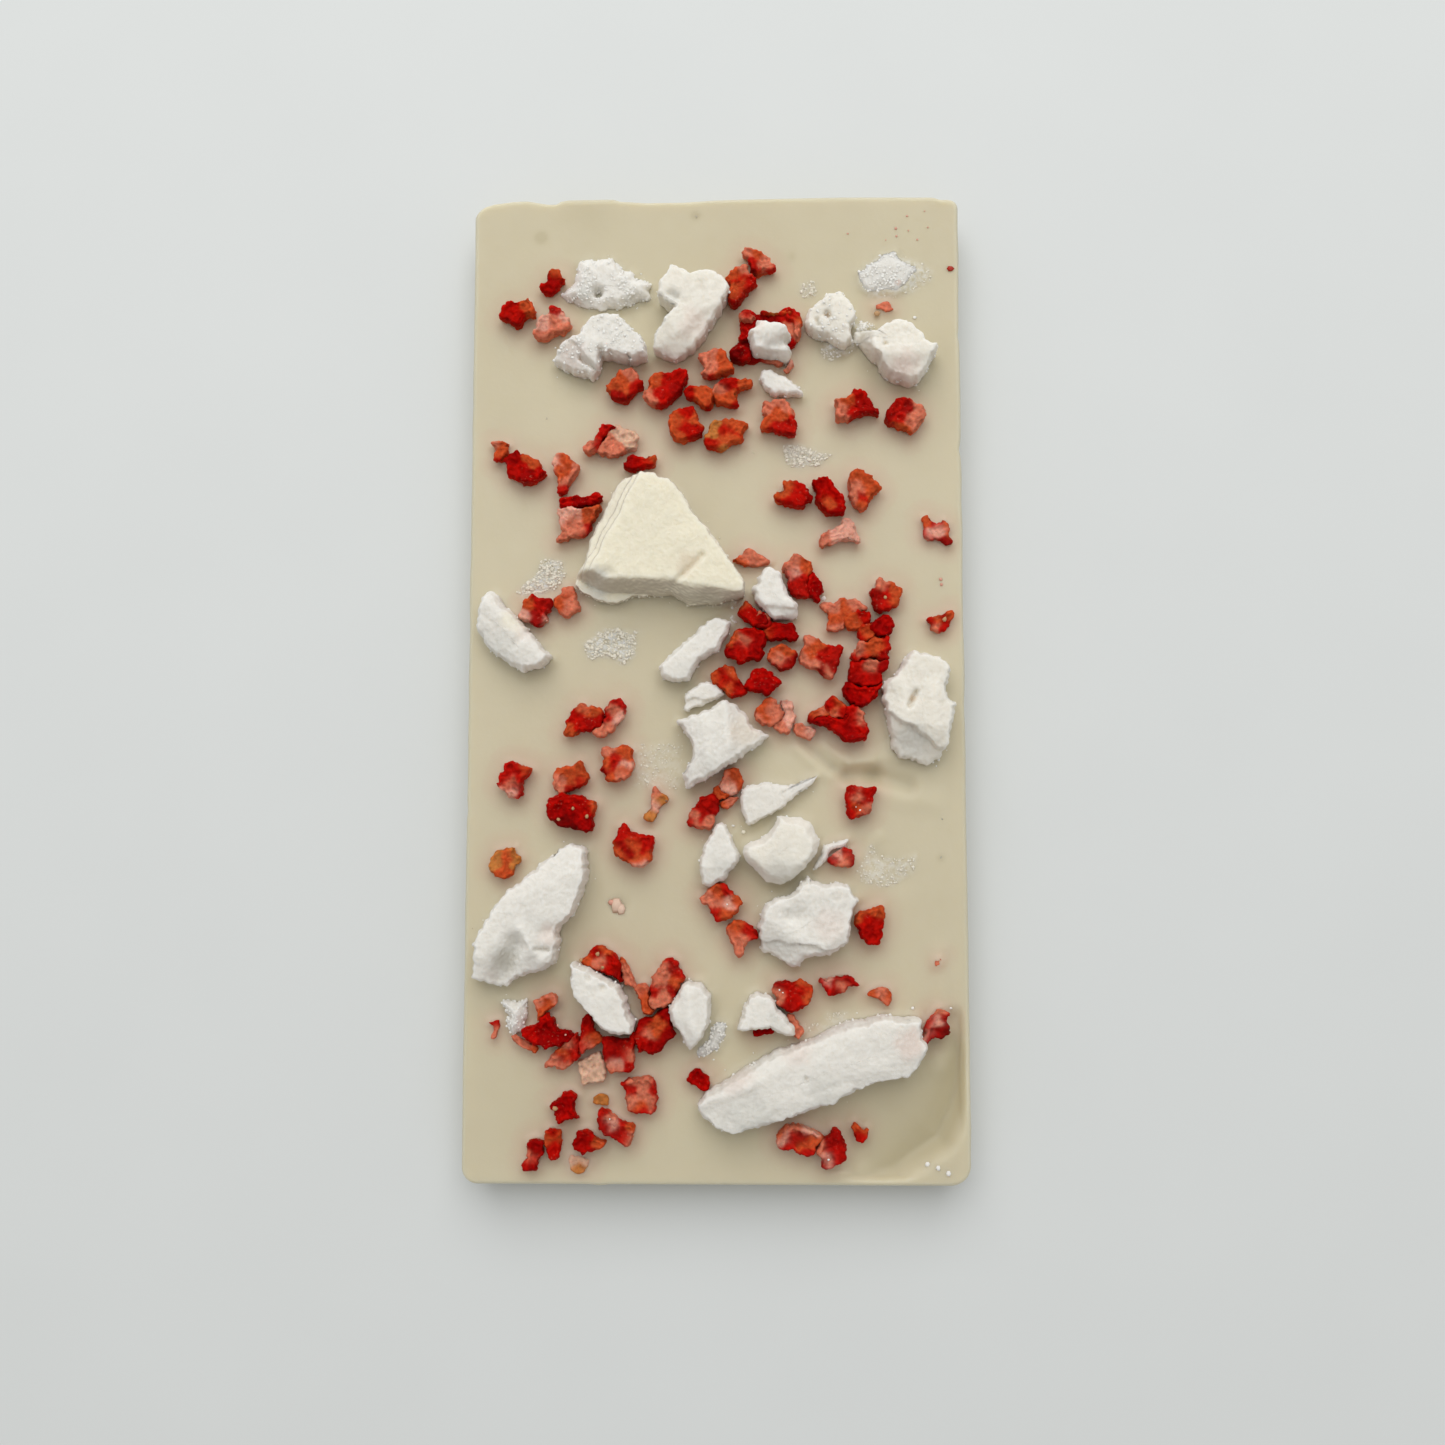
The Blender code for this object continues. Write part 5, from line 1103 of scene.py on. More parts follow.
    {"middle": (35, 8.5), "rise": 1.8, "outline": [(-19, -5), (-17, -14), (-8, -18), (3, -14), (10, -8),
     (13, 0), (19, 9), (18, 17), (11, 15), (1, 9), (-10, 9), (-25, 2)],
     "tones": {"R": [(-19, -3), (6, -8)], "O": [(-8, 4), (15, 12)], "S": [(-14, -10)], "D": [(0, 5)]},
     "seeds": [("seed", 0.3, 0.2, 1.1)]},
    {"middle": (5.7, 9.5), "rise": 3.2, "outline": [(-16, -7), (-3, -15), (12, -18), (22, -14), (25, -6),
     (19, 1), (0, 9), (-4, 16), (-11, 19), (-17, 12), (-22, 2)],
     "tones": {"R": [(-7, 4), (1, -7)], "D": [(14, -10)], "O": [(-12, 14)]}},
    {"middle": (7.4, 8.6), "rise": 3, "outline": [(-15, -2), (-8, -11), (5, -13), (14, -6), (10, 3),
     (2, 11), (-8, 14)],
     "tones": {"D": [(2, -5)], "S": [(-2, 8)], "R": [(-8, 2)]}},
    {"middle": (10.3, 6.7), "rise": 2.8, "outline": [(-28, 4), (-27, -5), (-19, -12), (5, -10), (13, -14),
     (21, -13), (24, -6), (17, 12), (10, 14), (-3, 14), (-19, 11)],
     "tones": {"D": [(7, 1), (-11, -10)], "R": [(-16, 0)], "O": [(-24, -1)]}},
    {"middle": (4.9, 4.5), "rise": 3.6, "outline": [(-32, -16), (-20, -19), (-7, -27), (6, -21), (20, -21),
     (25, -13), (23, -1), (28, 7), (27, 20), (12, 27), (-4, 30), (-15, 25), (-23, 17), (-34, -7)],
     "tones": {"O": [(-24, 11)], "R": [(-7, 1), (4, 19), (-9, -23)], "D": [(14, 1), (-25, -15), (17, -20)],
     "S": [(-5, 8)]}},
    {"middle": (10.5, 2.8), "rise": 3, "outline": [(-25, -2), (-7, -20), (1, -24), (14, -12), (19, -5),
     (22, 3), (16, 11), (5, 17), (-8, 19), (-18, 12), (-24, 4)],
     "tones": {"O": [(0, 11), (-18, 5)], "S": [(-10, 0), (-3, -5)], "D": [(13, -8), (-3, -18)]}},
    {"middle": (15.9, 3), "rise": 3, "outline": [(-27, -11), (-13, -19), (0, -24), (10, -33), (22, -35),
     (33, -6), (37, 9), (35, 16), (20, 14), (-9, 30), (-23, 33), (-22, 17), (-27, 10), (-32, -3)],
     "tones": {"S": [(-26, -2), (-15, 24), (-12, -15), (13, -28)], "O": [(1, 14), (-12, 6)], "R": [(9, 1),
     (25, 6)], "D": [(25, -15), (4, -28)]}},
    {"middle": (2.2, -0.9), "rise": 2.8, "outline": [(-26, -2), (-1, -21), (12, -24), (23, -22), (26, -14),
     (13, 6), (8, 23), (-6, 24), (-22, 19), (-27, 9)],
     "tones": {"R": [(-11, 0), (15, -21)], "O": [(2, 16), (-22, 3), (-3, -10)], "D": [(7, -10), (-6, 8)]}},
    {"middle": (7.2, -0.8), "rise": 3.4, "outline": [(-19, -16), (12, -23), (22, -11), (30, -5), (10, 15),
     (0, 19), (-9, 17), (-15, 12), (-27, -10)],
     "tones": {"D": [(-6, -9), (9, -9)], "R": [(-1, 9), (-17, -12), (23, -7)]}},
    {"middle": (8.2, -5.9), "rise": 2.6, "outline": [(-19, -10), (-11, -16), (0, -19), (10, -16), (19, -8),
     (24, 1), (18, 11), (3, 25), (-8, 19), (-16, 11), (-22, -1)],
     "tones": {"O": [(-8, 12), (-3, -5)], "S": [(5, 6), (-11, -13), (13, -7)]}},
    {"middle": (10.6, -6.4), "rise": 2.2, "outline": [(0, 9), (-5, -3), (-16, -12), (-14, -19), (-3, -25),
     (8, -24), (17, -1), (13, 22), (5, 29), (-6, 27)],
     "tones": {"P": [(7, 16), (10, -5)], "S": [(-6, -18)]}},
    {"middle": (13.7, -8.5), "rise": 1.8, "outline": [(-13, -5), (-2, -11), (9, -15), (16, -5), (18, 4),
     (5, 7), (-5, 12), (-14, 11), (-17, 2)],
     "tones": {"S": [(-8, 4), (3, -11)], "P": [(8, -4)]}},
    {"middle": (16, -5.9), "rise": 2.6, "outline": [(-16, -12), (-1, -6), (10, -5), (17, 0), (14, 9),
     (4, 11), (-12, 5), (-17, -2)],
     "tones": {"O": [(-5, 2), (11, -3)], "S": [(5, 4)], "D": [(-13, -9)]}},
    {"middle": (18.5, -5.1), "rise": 3, "outline": [(-13, -10), (0, -15), (11, -17), (18, -10), (15, 3),
     (7, 14), (-4, 16), (-14, 13), (-18, 5)],
     "tones": {"R": [(-7, 7), (10, -8)], "O": [(4, 8), (-4, -9)], "S": [(-4, -12)]}},
    {"middle": (19.5, -7.3), "rise": 3.8, "outline": [(-26, -7), (-12, -15), (-4, -23), (4, -29), (36, -28),
     (38, -18), (32, 13), (25, 24), (15, 26), (5, 22), (7, 11), (0, 3), (-24, 10), (-36, 7), (-52, 1)],
     "tones": {"D": [(-33, -2), (-1, -15), (14, -23)], "R": [(20, 6), (30, -15), (-12, -5), (12, 19)],
     "S": [(27, 7)]}},
    {"middle": (2.5, -16.3), "rise": 2.4, "outline": [(-13, -16), (-2, -20), (9, -18), (15, -7), (18, 2),
     (12, 16), (4, 22), (-7, 17), (-14, 10), (-20, -6)],
     "tones": {"S": [(-9, 0)], "P": [(-5, -8)], "O": [(7, 13), (12, -3)]}},
    {"middle": (0.6, -18), "rise": 2.4, "outline": [(-10, -4), (-1, -13), (17, -4), (6, 1), (-2, 12),
     (-9, 9)],
     "tones": {"O": [(-1, 1), (10, -6)]}},
    {"middle": (2, -19.4), "rise": 2, "outline": [(-16, -1), (-12, -9), (-1, -11), (9, -2), (15, 7), (6, 9),
     (-4, 6)],
     "tones": {"S": [(1, -2)], "O": [(-7, -6)]}},
    {"middle": (-1.7, -21), "rise": 3.2, "outline": [(-25, -20), (-17, -22), (9, -24), (15, -19), (16, -5),
     (22, 7), (23, 17), (17, 25), (2, 26), (-6, 20), (-12, 9), (-23, -1), (-27, -14)],
     "tones": {"R": [(-4, 7), (7, 20), (-1, -6), (-22, -14)], "S": [(-14, -9), (9, -17)], "D": [(12, 10)]}},
    {"middle": (21.8, -19.3), "rise": 3.2, "outline": [(-17, -9), (-18, -22), (-11, -28), (4, -20),
     (16, -20), (22, -5), (22, 9), (27, 21), (2, 22), (-9, 24), (-16, 20), (-19, 4)],
     "tones": {"R": [(-8, 14), (13, 14), (-11, -15)], "D": [(5, -2), (10, -18)], "S": [(0, 8), (11, -14)],
     "O": [(0, -10)]},
     "seeds": [("white", 0.2, -1.4, 0.4), ("white", -0.4, -0.9, 0.35)]},
    {"middle": (19.5, -27.9), "rise": 2.4, "outline": [(-21, -11), (0, -14), (13, -14), (18, 1), (14, 11),
     (5, 15), (-7, 13), (-23, -2)],
     "tones": {"R": [(-14, 0), (5, 8)], "S": [(-3, -8), (5, 0)], "D": [(13, 0)], "P": [(-8, 5)]}},
    {"middle": (0.9, -34.2), "rise": 3.2, "outline": [(-22, -8), (-7, -29), (2, -31), (17, -25), (28, -12),
     (33, -1), (20, 8), (10, 19), (1, 26), (-10, 27), (-17, 19), (-25, 8), (-32, 3)],
     "tones": {"S": [(-24, 2), (-3, -2)], "O": [(-3, 8), (7, -21), (25, -2)], "P": [(11, -6)],
     "R": [(12, 16), (-6, -23)]},
     "seeds": [("white", 0.9, -0.7, 0.5)]},
    {"middle": (4.1, -39.7), "rise": 3.2, "outline": [(-16, -8), (-9, -31), (-1, -31), (4, -19), (6, -8),
     (14, -4), (25, -3), (22, 7), (12, 17), (1, 24), (-10, 24), (-19, 18), (-24, 10)],
     "tones": {"O": [(-7, 19), (-12, 6)], "R": [(6, 11), (17, 2)], "S": [(-15, 2), (-7, -18), (1, -5)]}},
    {"middle": (23.4, -38.4), "rise": 3.4, "outline": [(-21, 4), (-14, -15), (-6, -19), (-2, -25), (3, -27),
     (13, -21), (16, -15), (24, 20), (17, 33), (9, 29), (-19, 24), (-22, 15)],
     "tones": {"O": [(-17, 23), (12, 27), (20, 19)], "R": [(-6, 11), (15, 6), (2, -21)], "D": [(-4, -5)]}},
    {"middle": (-20.5, -7.2), "rise": 3.2, "outline": [(-26, -21), (-16, -21), (-6, -17), (0, -12),
     (11, -13), (21, -11), (29, -3), (35, 12), (29, 22), (11, 24), (-1, 30), (-12, 23), (-24, 2), (-23, -5),
     (-28, -15)],
     "tones": {"O": [(1, 25), (17, 16), (-20, -13)], "R": [(-12, 8), (-4, -5), (25, -8)], "D": [(12, -3),
     (27, 3)], "S": [(2, 27)]}},
    {"middle": (-16.1, -6.3), "rise": 3, "outline": [(-7, 1), (-11, -12), (-28, -26), (-21, -30), (-9, -32),
     (1, -25), (20, -1), (23, 12), (22, 23), (14, 29), (5, 27), (-2, 19), (-12, 11)],
     "tones": {"R": [(11, 23), (-6, 2), (20, 17)], "S": [(7, 7), (-4, -17), (-12, -27)], "P": [(15, -4)]}},
    {"middle": (-31.2, -16.4), "rise": 3.2, "outline": [(-23, -1), (-18, -9), (-8, -14), (-7, -20),
     (0, -24), (10, -25), (17, -19), (16, -9), (18, 2), (25, 10), (29, 20), (-3, 34), (-8, 31), (-10, 20),
     (-17, 11), (-21, -2)],
     "tones": {"R": [(-2, 24), (9, 8), (27, 16), (-7, 6), (17, -18)], "O": [(27, 19)], "S": [(0, -2)],
     "P": [(0, -15)], "D": [(3, -8)]},
     "seeds": [("pink", 0, -1.5, 0.4)]},
    {"middle": (-22.7, -15.8), "rise": 3, "outline": [(-17, -5), (-19, -16), (-14, -24), (-5, -22),
     (19, -13), (30, -7), (36, 2), (18, 27), (9, 18), (-2, 19), (-14, 16), (-20, 10), (-21, 0)],
     "tones": {"O": [(-3, 10), (20, 15), (31, 0), (7, 0)], "S": [(-9, -3), (-14, -19)], "D": [(10, -13)],
     "R": [(26, -6)]}},
    {"middle": (-22.1, -20.6), "rise": 3.6, "outline": [(-35, -7), (-30, -15), (-19, -25), (-4, -26),
     (32, -35), (35, -23), (34, -9), (42, 12), (27, 16), (14, 22), (1, 20), (-12, 24), (-25, 21), (-33, 16),
     (-35, 3)],
     "tones": {"R": [(-22, 16), (2, 16), (28, 8), (23, 0)], "D": [(-19, 0), (7, -10), (28, -26)],
     "K": [(-3, -21)], "O": [(40, 8)]},
     "seeds": [("seed", -1.7, -1.5, 0.9), ("seed", 0.5, 0.2, 0.9), ("seed", 2.7, -1, 0.9)]},
    {"middle": (-14.9, -13.2), "rise": 3.2, "outline": [(-20, -21), (-15, -31), (0, -30), (16, -25),
     (25, -10), (26, -1), (22, 7), (24, 17), (17, 22), (6, 25), (-5, 20), (-16, 22), (-24, 21), (-22, -8),
     (-28, -14)],
     "tones": {"O": [(-17, 0), (8, 15), (21, 10), (-13, -26), (11, -13)], "R": [(-5, 0)], "P": [(13, -6)],
     "D": [(-21, -16)], "S": [(8, -24), (-16, 19)]}},
    {"middle": (-12.6, -25.8), "rise": 3.4, "outline": [(-26, -17), (-13, -27), (13, -36), (22, -33),
     (29, -21), (32, 3), (31, 13), (19, 13), (5, 17), (-7, 24), (-14, 30), (-22, 26), (-21, 13), (-26, 5),
     (-27, -5)],
     "tones": {"R": [(-15, 21), (3, 5), (27, 5), (22, -10)], "O": [(-20, -18), (1, 0), (11, -26),
     (27, -18)], "D": [(-10, -10)], "P": [(14, -34)]}},
    {"middle": (-9.2, -19.6), "rise": 1.4, "outline": [(-15, -24), (-5, -27), (1, -22), (7, -9), (21, 6),
     (17, 12), (7, 17), (1, 28), (-2, 25), (-6, 12), (-6, -4), (-18, -20)],
     "tones": {"T": [(-10, -18), (5, 4), (14, 8)], "P": [(-3, -4)], "S": [(-1, 17)]},
     "seeds": [("brown", 1.7, 0.4, 0.6)]},
    {"middle": (-32, -28.3), "rise": 2.2, "outline": [(-26, -16), (0, -30), (9, -23), (15, -9), (22, -1),
     (21, 8), (12, 12), (13, 20), (1, 20), (-15, 15), (-22, 9), (-26, -4)],
     "tones": {"T": [(-16, 4), (12, 12), (18, -1)], "O": [(2, 4), (-1, -22)]}},
    {"middle": (-16.9, -43.5), "rise": 3.4, "outline": [(-31, -4), (7, -19), (29, -30), (27, -22), (28, -9),
     (24, 4), (12, 15), (0, 23), (-13, 21), (-22, 15), (-27, 6), (-36, 2)],
     "tones": {"R": [(-11, 12), (15, 1), (7, -12)], "O": [(2, 20), (-24, 4)], "D": [(23, -22), (-6, 14)],
     "S": [(-3, 4)]},
     "seeds": [("seed", -0.8, 1.2, 0.8), ("seed", 0, -0.8, 0.8), ("seed", -3.3, 0.3, 0.8)]},
    {"middle": (-13.1, -45.7), "rise": 2.4, "outline": [(-8, -8), (6, -19), (10, -17), (9, -5), (-5, 21),
     (-14, 29)],
     "tones": {"S": [(-3, 15), (5, -6)], "O": [(-5, 25)]}},
    {"middle": (-7.2, -46.5), "rise": 3.4, "outline": [(-26, -21), (-25, -34), (-17, -42), (4, -32),
     (12, -24), (18, -15), (18, -3), (28, 6), (17, 22), (14, 31), (5, 37), (-2, 34), (-11, 25), (-16, 14),
     (-23, 9)],
     "tones": {"R": [(10, 31), (20, 10), (-19, -13)], "S": [(-14, 0), (-3, 18), (-6, -24), (-22, -31)],
     "D": [(10, 21), (12, -13)], "O": [(15, 0)]}},
    {"middle": (-10.6, -49.2), "rise": 3, "outline": [(-11, 5), (-4, -3), (-5, -13), (-1, -21), (12, -22),
     (17, -16), (7, -4), (7, 11), (5, 23), (-9, 23), (-16, 17)],
     "tones": {"O": [(-4, 14), (1, -7), (9, -15)], "S": [(-9, 16), (4, 24)]}},
    {"middle": (-9.2, -54), "rise": 3.6, "outline": [(-31, -6), (-25, -30), (-12, -30), (-2, -34), (7, -29),
     (30, -5), (26, 24), (22, 36), (7, 32), (-4, 22), (-20, 22)],
     "tones": {"D": [(-15, 18), (19, 26), (22, -3), (-2, -24), (14, -16)], "O": [(-2, 5), (6, 10)],
     "R": [(-20, -16), (-17, 5)], "S": [(-9, -1)]}},
    {"middle": (-14.3, -56.9), "rise": 3.4, "outline": [(-25, 11), (-24, 1), (-20, -14), (-14, -30),
     (0, -29), (15, -30), (20, -26), (21, -12), (19, 3), (23, 19), (21, 29), (15, 19), (2, 19), (-17, 21),
     (-29, 20)],
     "tones": {"R": [(-16, 12), (18, 12), (7, -3), (15, -24)], "D": [(-3, 18), (-11, -3)], "O": [(-8, -22)],
     "S": [(14, -3)], "P": [(-7, -19)]}},
    {"middle": (-19.1, -54.2), "rise": 3, "outline": [(-11, -5), (-14, -18), (-10, -31), (-4, -26),
     (23, -11), (18, -3), (7, 7), (6, 21), (1, 27), (-6, 26), (-11, 18)],
     "tones": {"D": [(0, 22)], "R": [(5, 6), (-5, -15), (-8, -2)], "O": [(13, -2), (5, -10)],
     "S": [(-1, -15)]}},
    {"middle": (-22.3, -57.5), "rise": 2.8, "outline": [(-19, -17), (-5, -20), (2, -17), (12, -11),
     (19, -2), (18, 11), (19, 25), (15, 33), (2, 25), (-29, -8), (-33, -18)],
     "tones": {"R": [(13, 23), (8, 2), (19, 12)], "S": [(-18, -9), (-2, -14), (6, 18)], "O": [(-5, 5)],
     "D": [(-8, -3)]}},
    {"middle": (-24.9, -53.8), "rise": 3.4, "outline": [(-34, -14), (-21, -22), (-7, -26), (16, -22),
     (31, -15), (36, -7), (31, 1), (15, 1), (8, 6), (7, 17), (-1, 19), (-4, 29), (-14, 19), (-19, 11),
     (-45, -1)],
     "tones": {"R": [(-2, 26), (-25, -3), (-33, 0)], "D": [(-12, 0), (14, -8), (32, 0), (-2, -19), (9, 8)]},
     "seeds": [("pink", 1.3, 0.9, 0.5), ("pink", 2.5, -0.5, 0.5)]},
    {"middle": (-25.8, -50.1), "rise": 2.6, "outline": [(-14, -2), (-13, -12), (-9, -22), (0, -15), (7, -7),
     (21, 6), (20, 14), (11, 17), (-1, 14), (-18, 6)],
     "tones": {"S": [(14, 14), (-10, 4), (19, 12)], "O": [(6, 1), (-4, -12)]}},
    {"middle": (-28.8, -56), "rise": 2, "outline": [(-18, 6), (-10, -2), (3, -6), (16, -14), (21, -9),
     (19, -2), (-12, 12), (-19, 14)],
     "tones": {"S": [(-7, 7), (4, 2)], "O": [(14, -4)]}},
    {"middle": (-33.6, -53.8), "rise": 1.2, "outline": [(-2, 7), (0, -1), (-4, -11), (-3, -15), (4, -11),
     (9, 6), (8, 14), (-9, 10)],
     "tones": {"R": [(3, 10), (-5, 11)], "S": [(4, -3)]}},
    {"middle": (-18.6, -59.5), "rise": 1.8, "outline": [(-17, -17), (-12, -25), (17, -17), (21, 5),
     (13, 25), (2, 23), (-21, 9)],
     "tones": {"B": [(4, 15), (-9, 5), (12, -1), (-4, -14), (-14, -8)]}},
    {"middle": (-17.3, -64.4), "rise": 0.8, "outline": [(-6, -8), (3, -8), (12, -6), (13, 3), (8, 9),
     (-3, 10), (-13, 5), (-14, -3)],
     "tones": {"T": [(-2, 2), (6, -1)]}},
    {"middle": (-11.2, -63.2), "rise": 2.8, "outline": [(-23, 3), (-19, -26), (4, -30), (18, -28),
     (23, -20), (24, 5), (23, 18), (16, 26), (-11, 23), (-24, 19), (-31, 15)],
     "tones": {"R": [(-24, 20), (2, -26), (23, 14), (23, -15), (-16, 6)], "S": [(-8, 20), (10, 17), (2, -1),
     (-14, -9), (15, -12)], "O": [(-1, -17)]}},
    {"middle": (-22.6, -65.4), "rise": 2.8, "outline": [(-18, -4), (-13, -12), (-12, -22), (-2, -21),
     (11, -13), (21, -16), (14, -3), (14, 9), (18, 19), (8, 26), (-3, 24), (-16, 8), (-25, 2)],
     "tones": {"R": [(9, 26), (16, -11), (-5, -16)], "D": [(9, 10), (-5, 0), (-20, 2)]},
     "seeds": [("seed", -1.4, 0.1, 1)]},
    {"middle": (-15.1, -67.7), "rise": 3.2, "outline": [(-24, -6), (-14, -14), (21, -32), (27, -22),
     (32, -2), (26, 2), (12, 3), (-1, 11), (-8, 19), (-19, 22), (-24, 17), (-25, 8)],
     "tones": {"R": [(-15, 21), (10, 2), (15, -19)], "S": [(-3, 15), (23, -21)], "D": [(-11, 0), (2, -13)],
     "O": [(28, 0)], "P": [(-2, 4)]},
     "seeds": [("white", -0.6, 1, 0.4)]},
    {"middle": (-19.1, -70.6), "rise": 2.8, "outline": [(-22, -9), (-15, -9), (-7, -15), (2, -13), (12, -8),
     (21, -5), (26, 2), (15, 7), (7, 16), (-6, 19), (-15, 17), (-23, 1)],
     "tones": {"D": [(-8, 7), (-13, -6), (0, 2)], "R": [(2, 15), (2, -6)], "O": [(18, 2)]}},
    {"middle": (-24.2, -70.8), "rise": 2.4, "outline": [(-9, -19), (-3, -24), (5, -20), (10, -11), (8, -2),
     (10, 11), (9, 19), (-3, 23), (-13, 21), (-15, 5)],
     "tones": {"R": [(-2, 19), (3, 3), (0, -15)], "O": [(-7, 11), (8, 14)], "D": [(-10, -15)]}},
    {"middle": (-27.3, -72.4), "rise": 2.6, "outline": [(5, -20), (5, -10), (14, 1), (14, 20), (4, 23),
     (-8, 22), (-7, -1), (-14, -10), (-14, -20)],
     "tones": {"D": [(5, 19), (0, -15), (11, 9)], "R": [(0, -2), (-9, -9)], "S": [(-4, 0)]}},
    {"middle": (-20.6, -74), "rise": 0.6, "outline": [(-12, -7), (-1, -14), (9, -13), (14, -2), (14, 9),
     (-12, 17), (-15, 7)],
     "tones": {"T": [(2, 0), (7, -8)], "B": [(-6, 8), (12, 8)]}},
    {"middle": (-2.5, -61.1), "rise": 2.2, "outline": [(-13, -7), (-1, -11), (7, -17), (14, -16), (17, -4),
     (13, 5), (7, 11), (1, 16), (-7, 13), (-14, 6), (-18, 0)],
     "tones": {"D": [(-1, 3), (4, 13)], "R": [(7, -8), (-12, -2)]}},
    {"middle": (11.4, -48.1), "rise": 3.4, "outline": [(-26, 0), (-20, -7), (-22, -16), (-4, -28), (9, -26),
     (28, -16), (32, -3), (32, 9), (17, 20), (8, 18), (2, 13), (-7, 16), (-22, 16), (-27, 10)],
     "tones": {"D": [(-14, 13), (-9, -15), (-1, 13)], "S": [(-19, 0), (-19, -10)], "R": [(-1, 8), (1, -8),
     (12, -21), (17, 3)], "O": [(17, 16), (25, -5)]},
     "seeds": [("white", -1.7, 0.5, 0.4), ("white", -1.2, 0.1, 0.35)]},
    {"middle": (18.6, -46.8), "rise": 2.8, "outline": [(-25, -1), (-15, -16), (-5, -16), (8, -12), (14, -6),
     (22, -2), (31, -2), (24, 3), (21, 10), (12, 13), (-11, 9), (-19, 4), (-27, 9), (-30, 1)],
     "tones": {"R": [(-28, 8), (-7, 0), (21, 2), (-13, -11)], "P": [(-18, 8)], "D": [(13, 8), (-2, -11),
     (6, 10)], "S": [(4, -3)]}},
    {"middle": (25.3, -48.4), "rise": 1.6, "outline": [(-7, -6), (8, -17), (13, -8), (14, 2), (9, 9),
     (-1, 11), (-13, 8), (-23, 0)],
     "tones": {"O": [(-16, 3), (8, -9), (11, 2)], "S": [(-3, 5), (5, -12)]}},
    {"middle": (33.3, -53.1), "rise": 3.6, "outline": [(-20, -27), (-6, -17), (8, -14), (17, -8), (18, 2),
     (14, 8), (16, 17), (14, 24), (6, 25), (-2, 20), (-18, 2), (-19, -9), (-25, -19)],
     "tones": {"S": [(3, 26)], "R": [(-9, 11), (-19, -4), (10, 14)], "D": [(2, -4), (-11, -15)],
     "K": [(10, -2)], "P": [(-1, 9), (-19, -11)]}},
    {"middle": (12.3, -70), "rise": 3.2, "outline": [(-18, -12), (-5, -15), (8, -21), (19, -22), (28, -15),
     (27, -7), (38, 7), (12, 21), (-4, 23), (-17, 21), (-25, 14), (-30, 4), (-31, -5)],
     "tones": {"O": [(-23, 15), (8, -3), (24, -1)], "S": [(-8, 23)], "P": [(19, 18), (-18, 8)],
     "R": [(-8, 7), (-13, -9), (16, -16)], "D": [(6, 3)]}},
    {"middle": (17.3, -71.1), "rise": 3.4, "outline": [(-20, -8), (-13, -14), (-14, -24), (-9, -29),
     (0, -28), (23, -14), (22, -3), (23, 4), (15, 22), (8, 30), (4, 28), (-4, 17), (-14, 12), (-20, 1)],
     "tones": {"D": [(-5, 8), (10, 21), (-8, -18), (3, -10)], "R": [(8, 0), (16, -13), (10, 32)],
     "P": [(-4, -14)], "S": [(-16, 5), (-18, -2)]},
     "seeds": [("white", -0.4, -1.4, 0.5)]},
    {"middle": (21.9, -68.9), "rise": 1.8, "outline": [(-8, -10), (0, -15), (8, -7), (10, 0), (10, 7),
     (4, 3), (-10, 15), (-15, 8)],
     "tones": {"R": [(0, -1), (-3, -9)], "O": [(-11, 14), (5, 7)]}},
    {"middle": (7.3, -53.8), "rise": 2, "outline": [(-9, -10), (1, -6), (14, -5), (18, -1), (9, 14),
     (-4, 14), (-15, 4), (-16, -9)],
     "tones": {"D": [(-2, -2)]}},
    {"middle": (12, -53.3), "rise": 2, "outline": [(-4, -2), (0, -15), (6, -16), (12, -7), (7, 4), (-4, 20),
     (-14, 17)],
     "tones": {"S": [(1, 4), (5, -10)]}},
    {"middle": (33.8, -43.7), "rise": 0.6, "outline": [(-4, -6), (2, -6), (4, 0), (3, 6), (-3, 5),
     (-5, -1)],
     "tones": {"S": [(-1, 1)]}},
    {"middle": (-27.6, 10.5), "rise": 2.8, "outline": [(-26, -16), (-1, -27), (7, -26), (17, -17), (13, -9),
     (21, -4), (25, 4), (21, 14), (13, 16), (3, 16), (-4, 22), (-13, 20), (-21, 11), (-22, -1), (-30, -8)],
     "tones": {"O": [(-12, 5)], "D": [(17, 10), (-4, -8), (4, -24)], "R": [(1, 10), (9, -1), (9, -8)],
     "P": [(-21, -14), (19, -19)]},
     "seeds": [("pink", -2.3, -1.2, 0.4), ("pink", 1.6, -1.9, 0.4)]},
    {"middle": (-22.9, 11.6), "rise": 2.4, "outline": [(-14, -11), (-5, -25), (4, -23), (11, -16),
     (20, -11), (19, -4), (11, 5), (12, 11), (9, 23), (0, 25), (-8, 21), (-10, 13), (-21, 3), (-20, -10)],
     "tones": {"O": [(-2, 10), (-13, -6)], "S": [(3, 0), (-2, 15), (14, -11), (1, -21)]}},
]


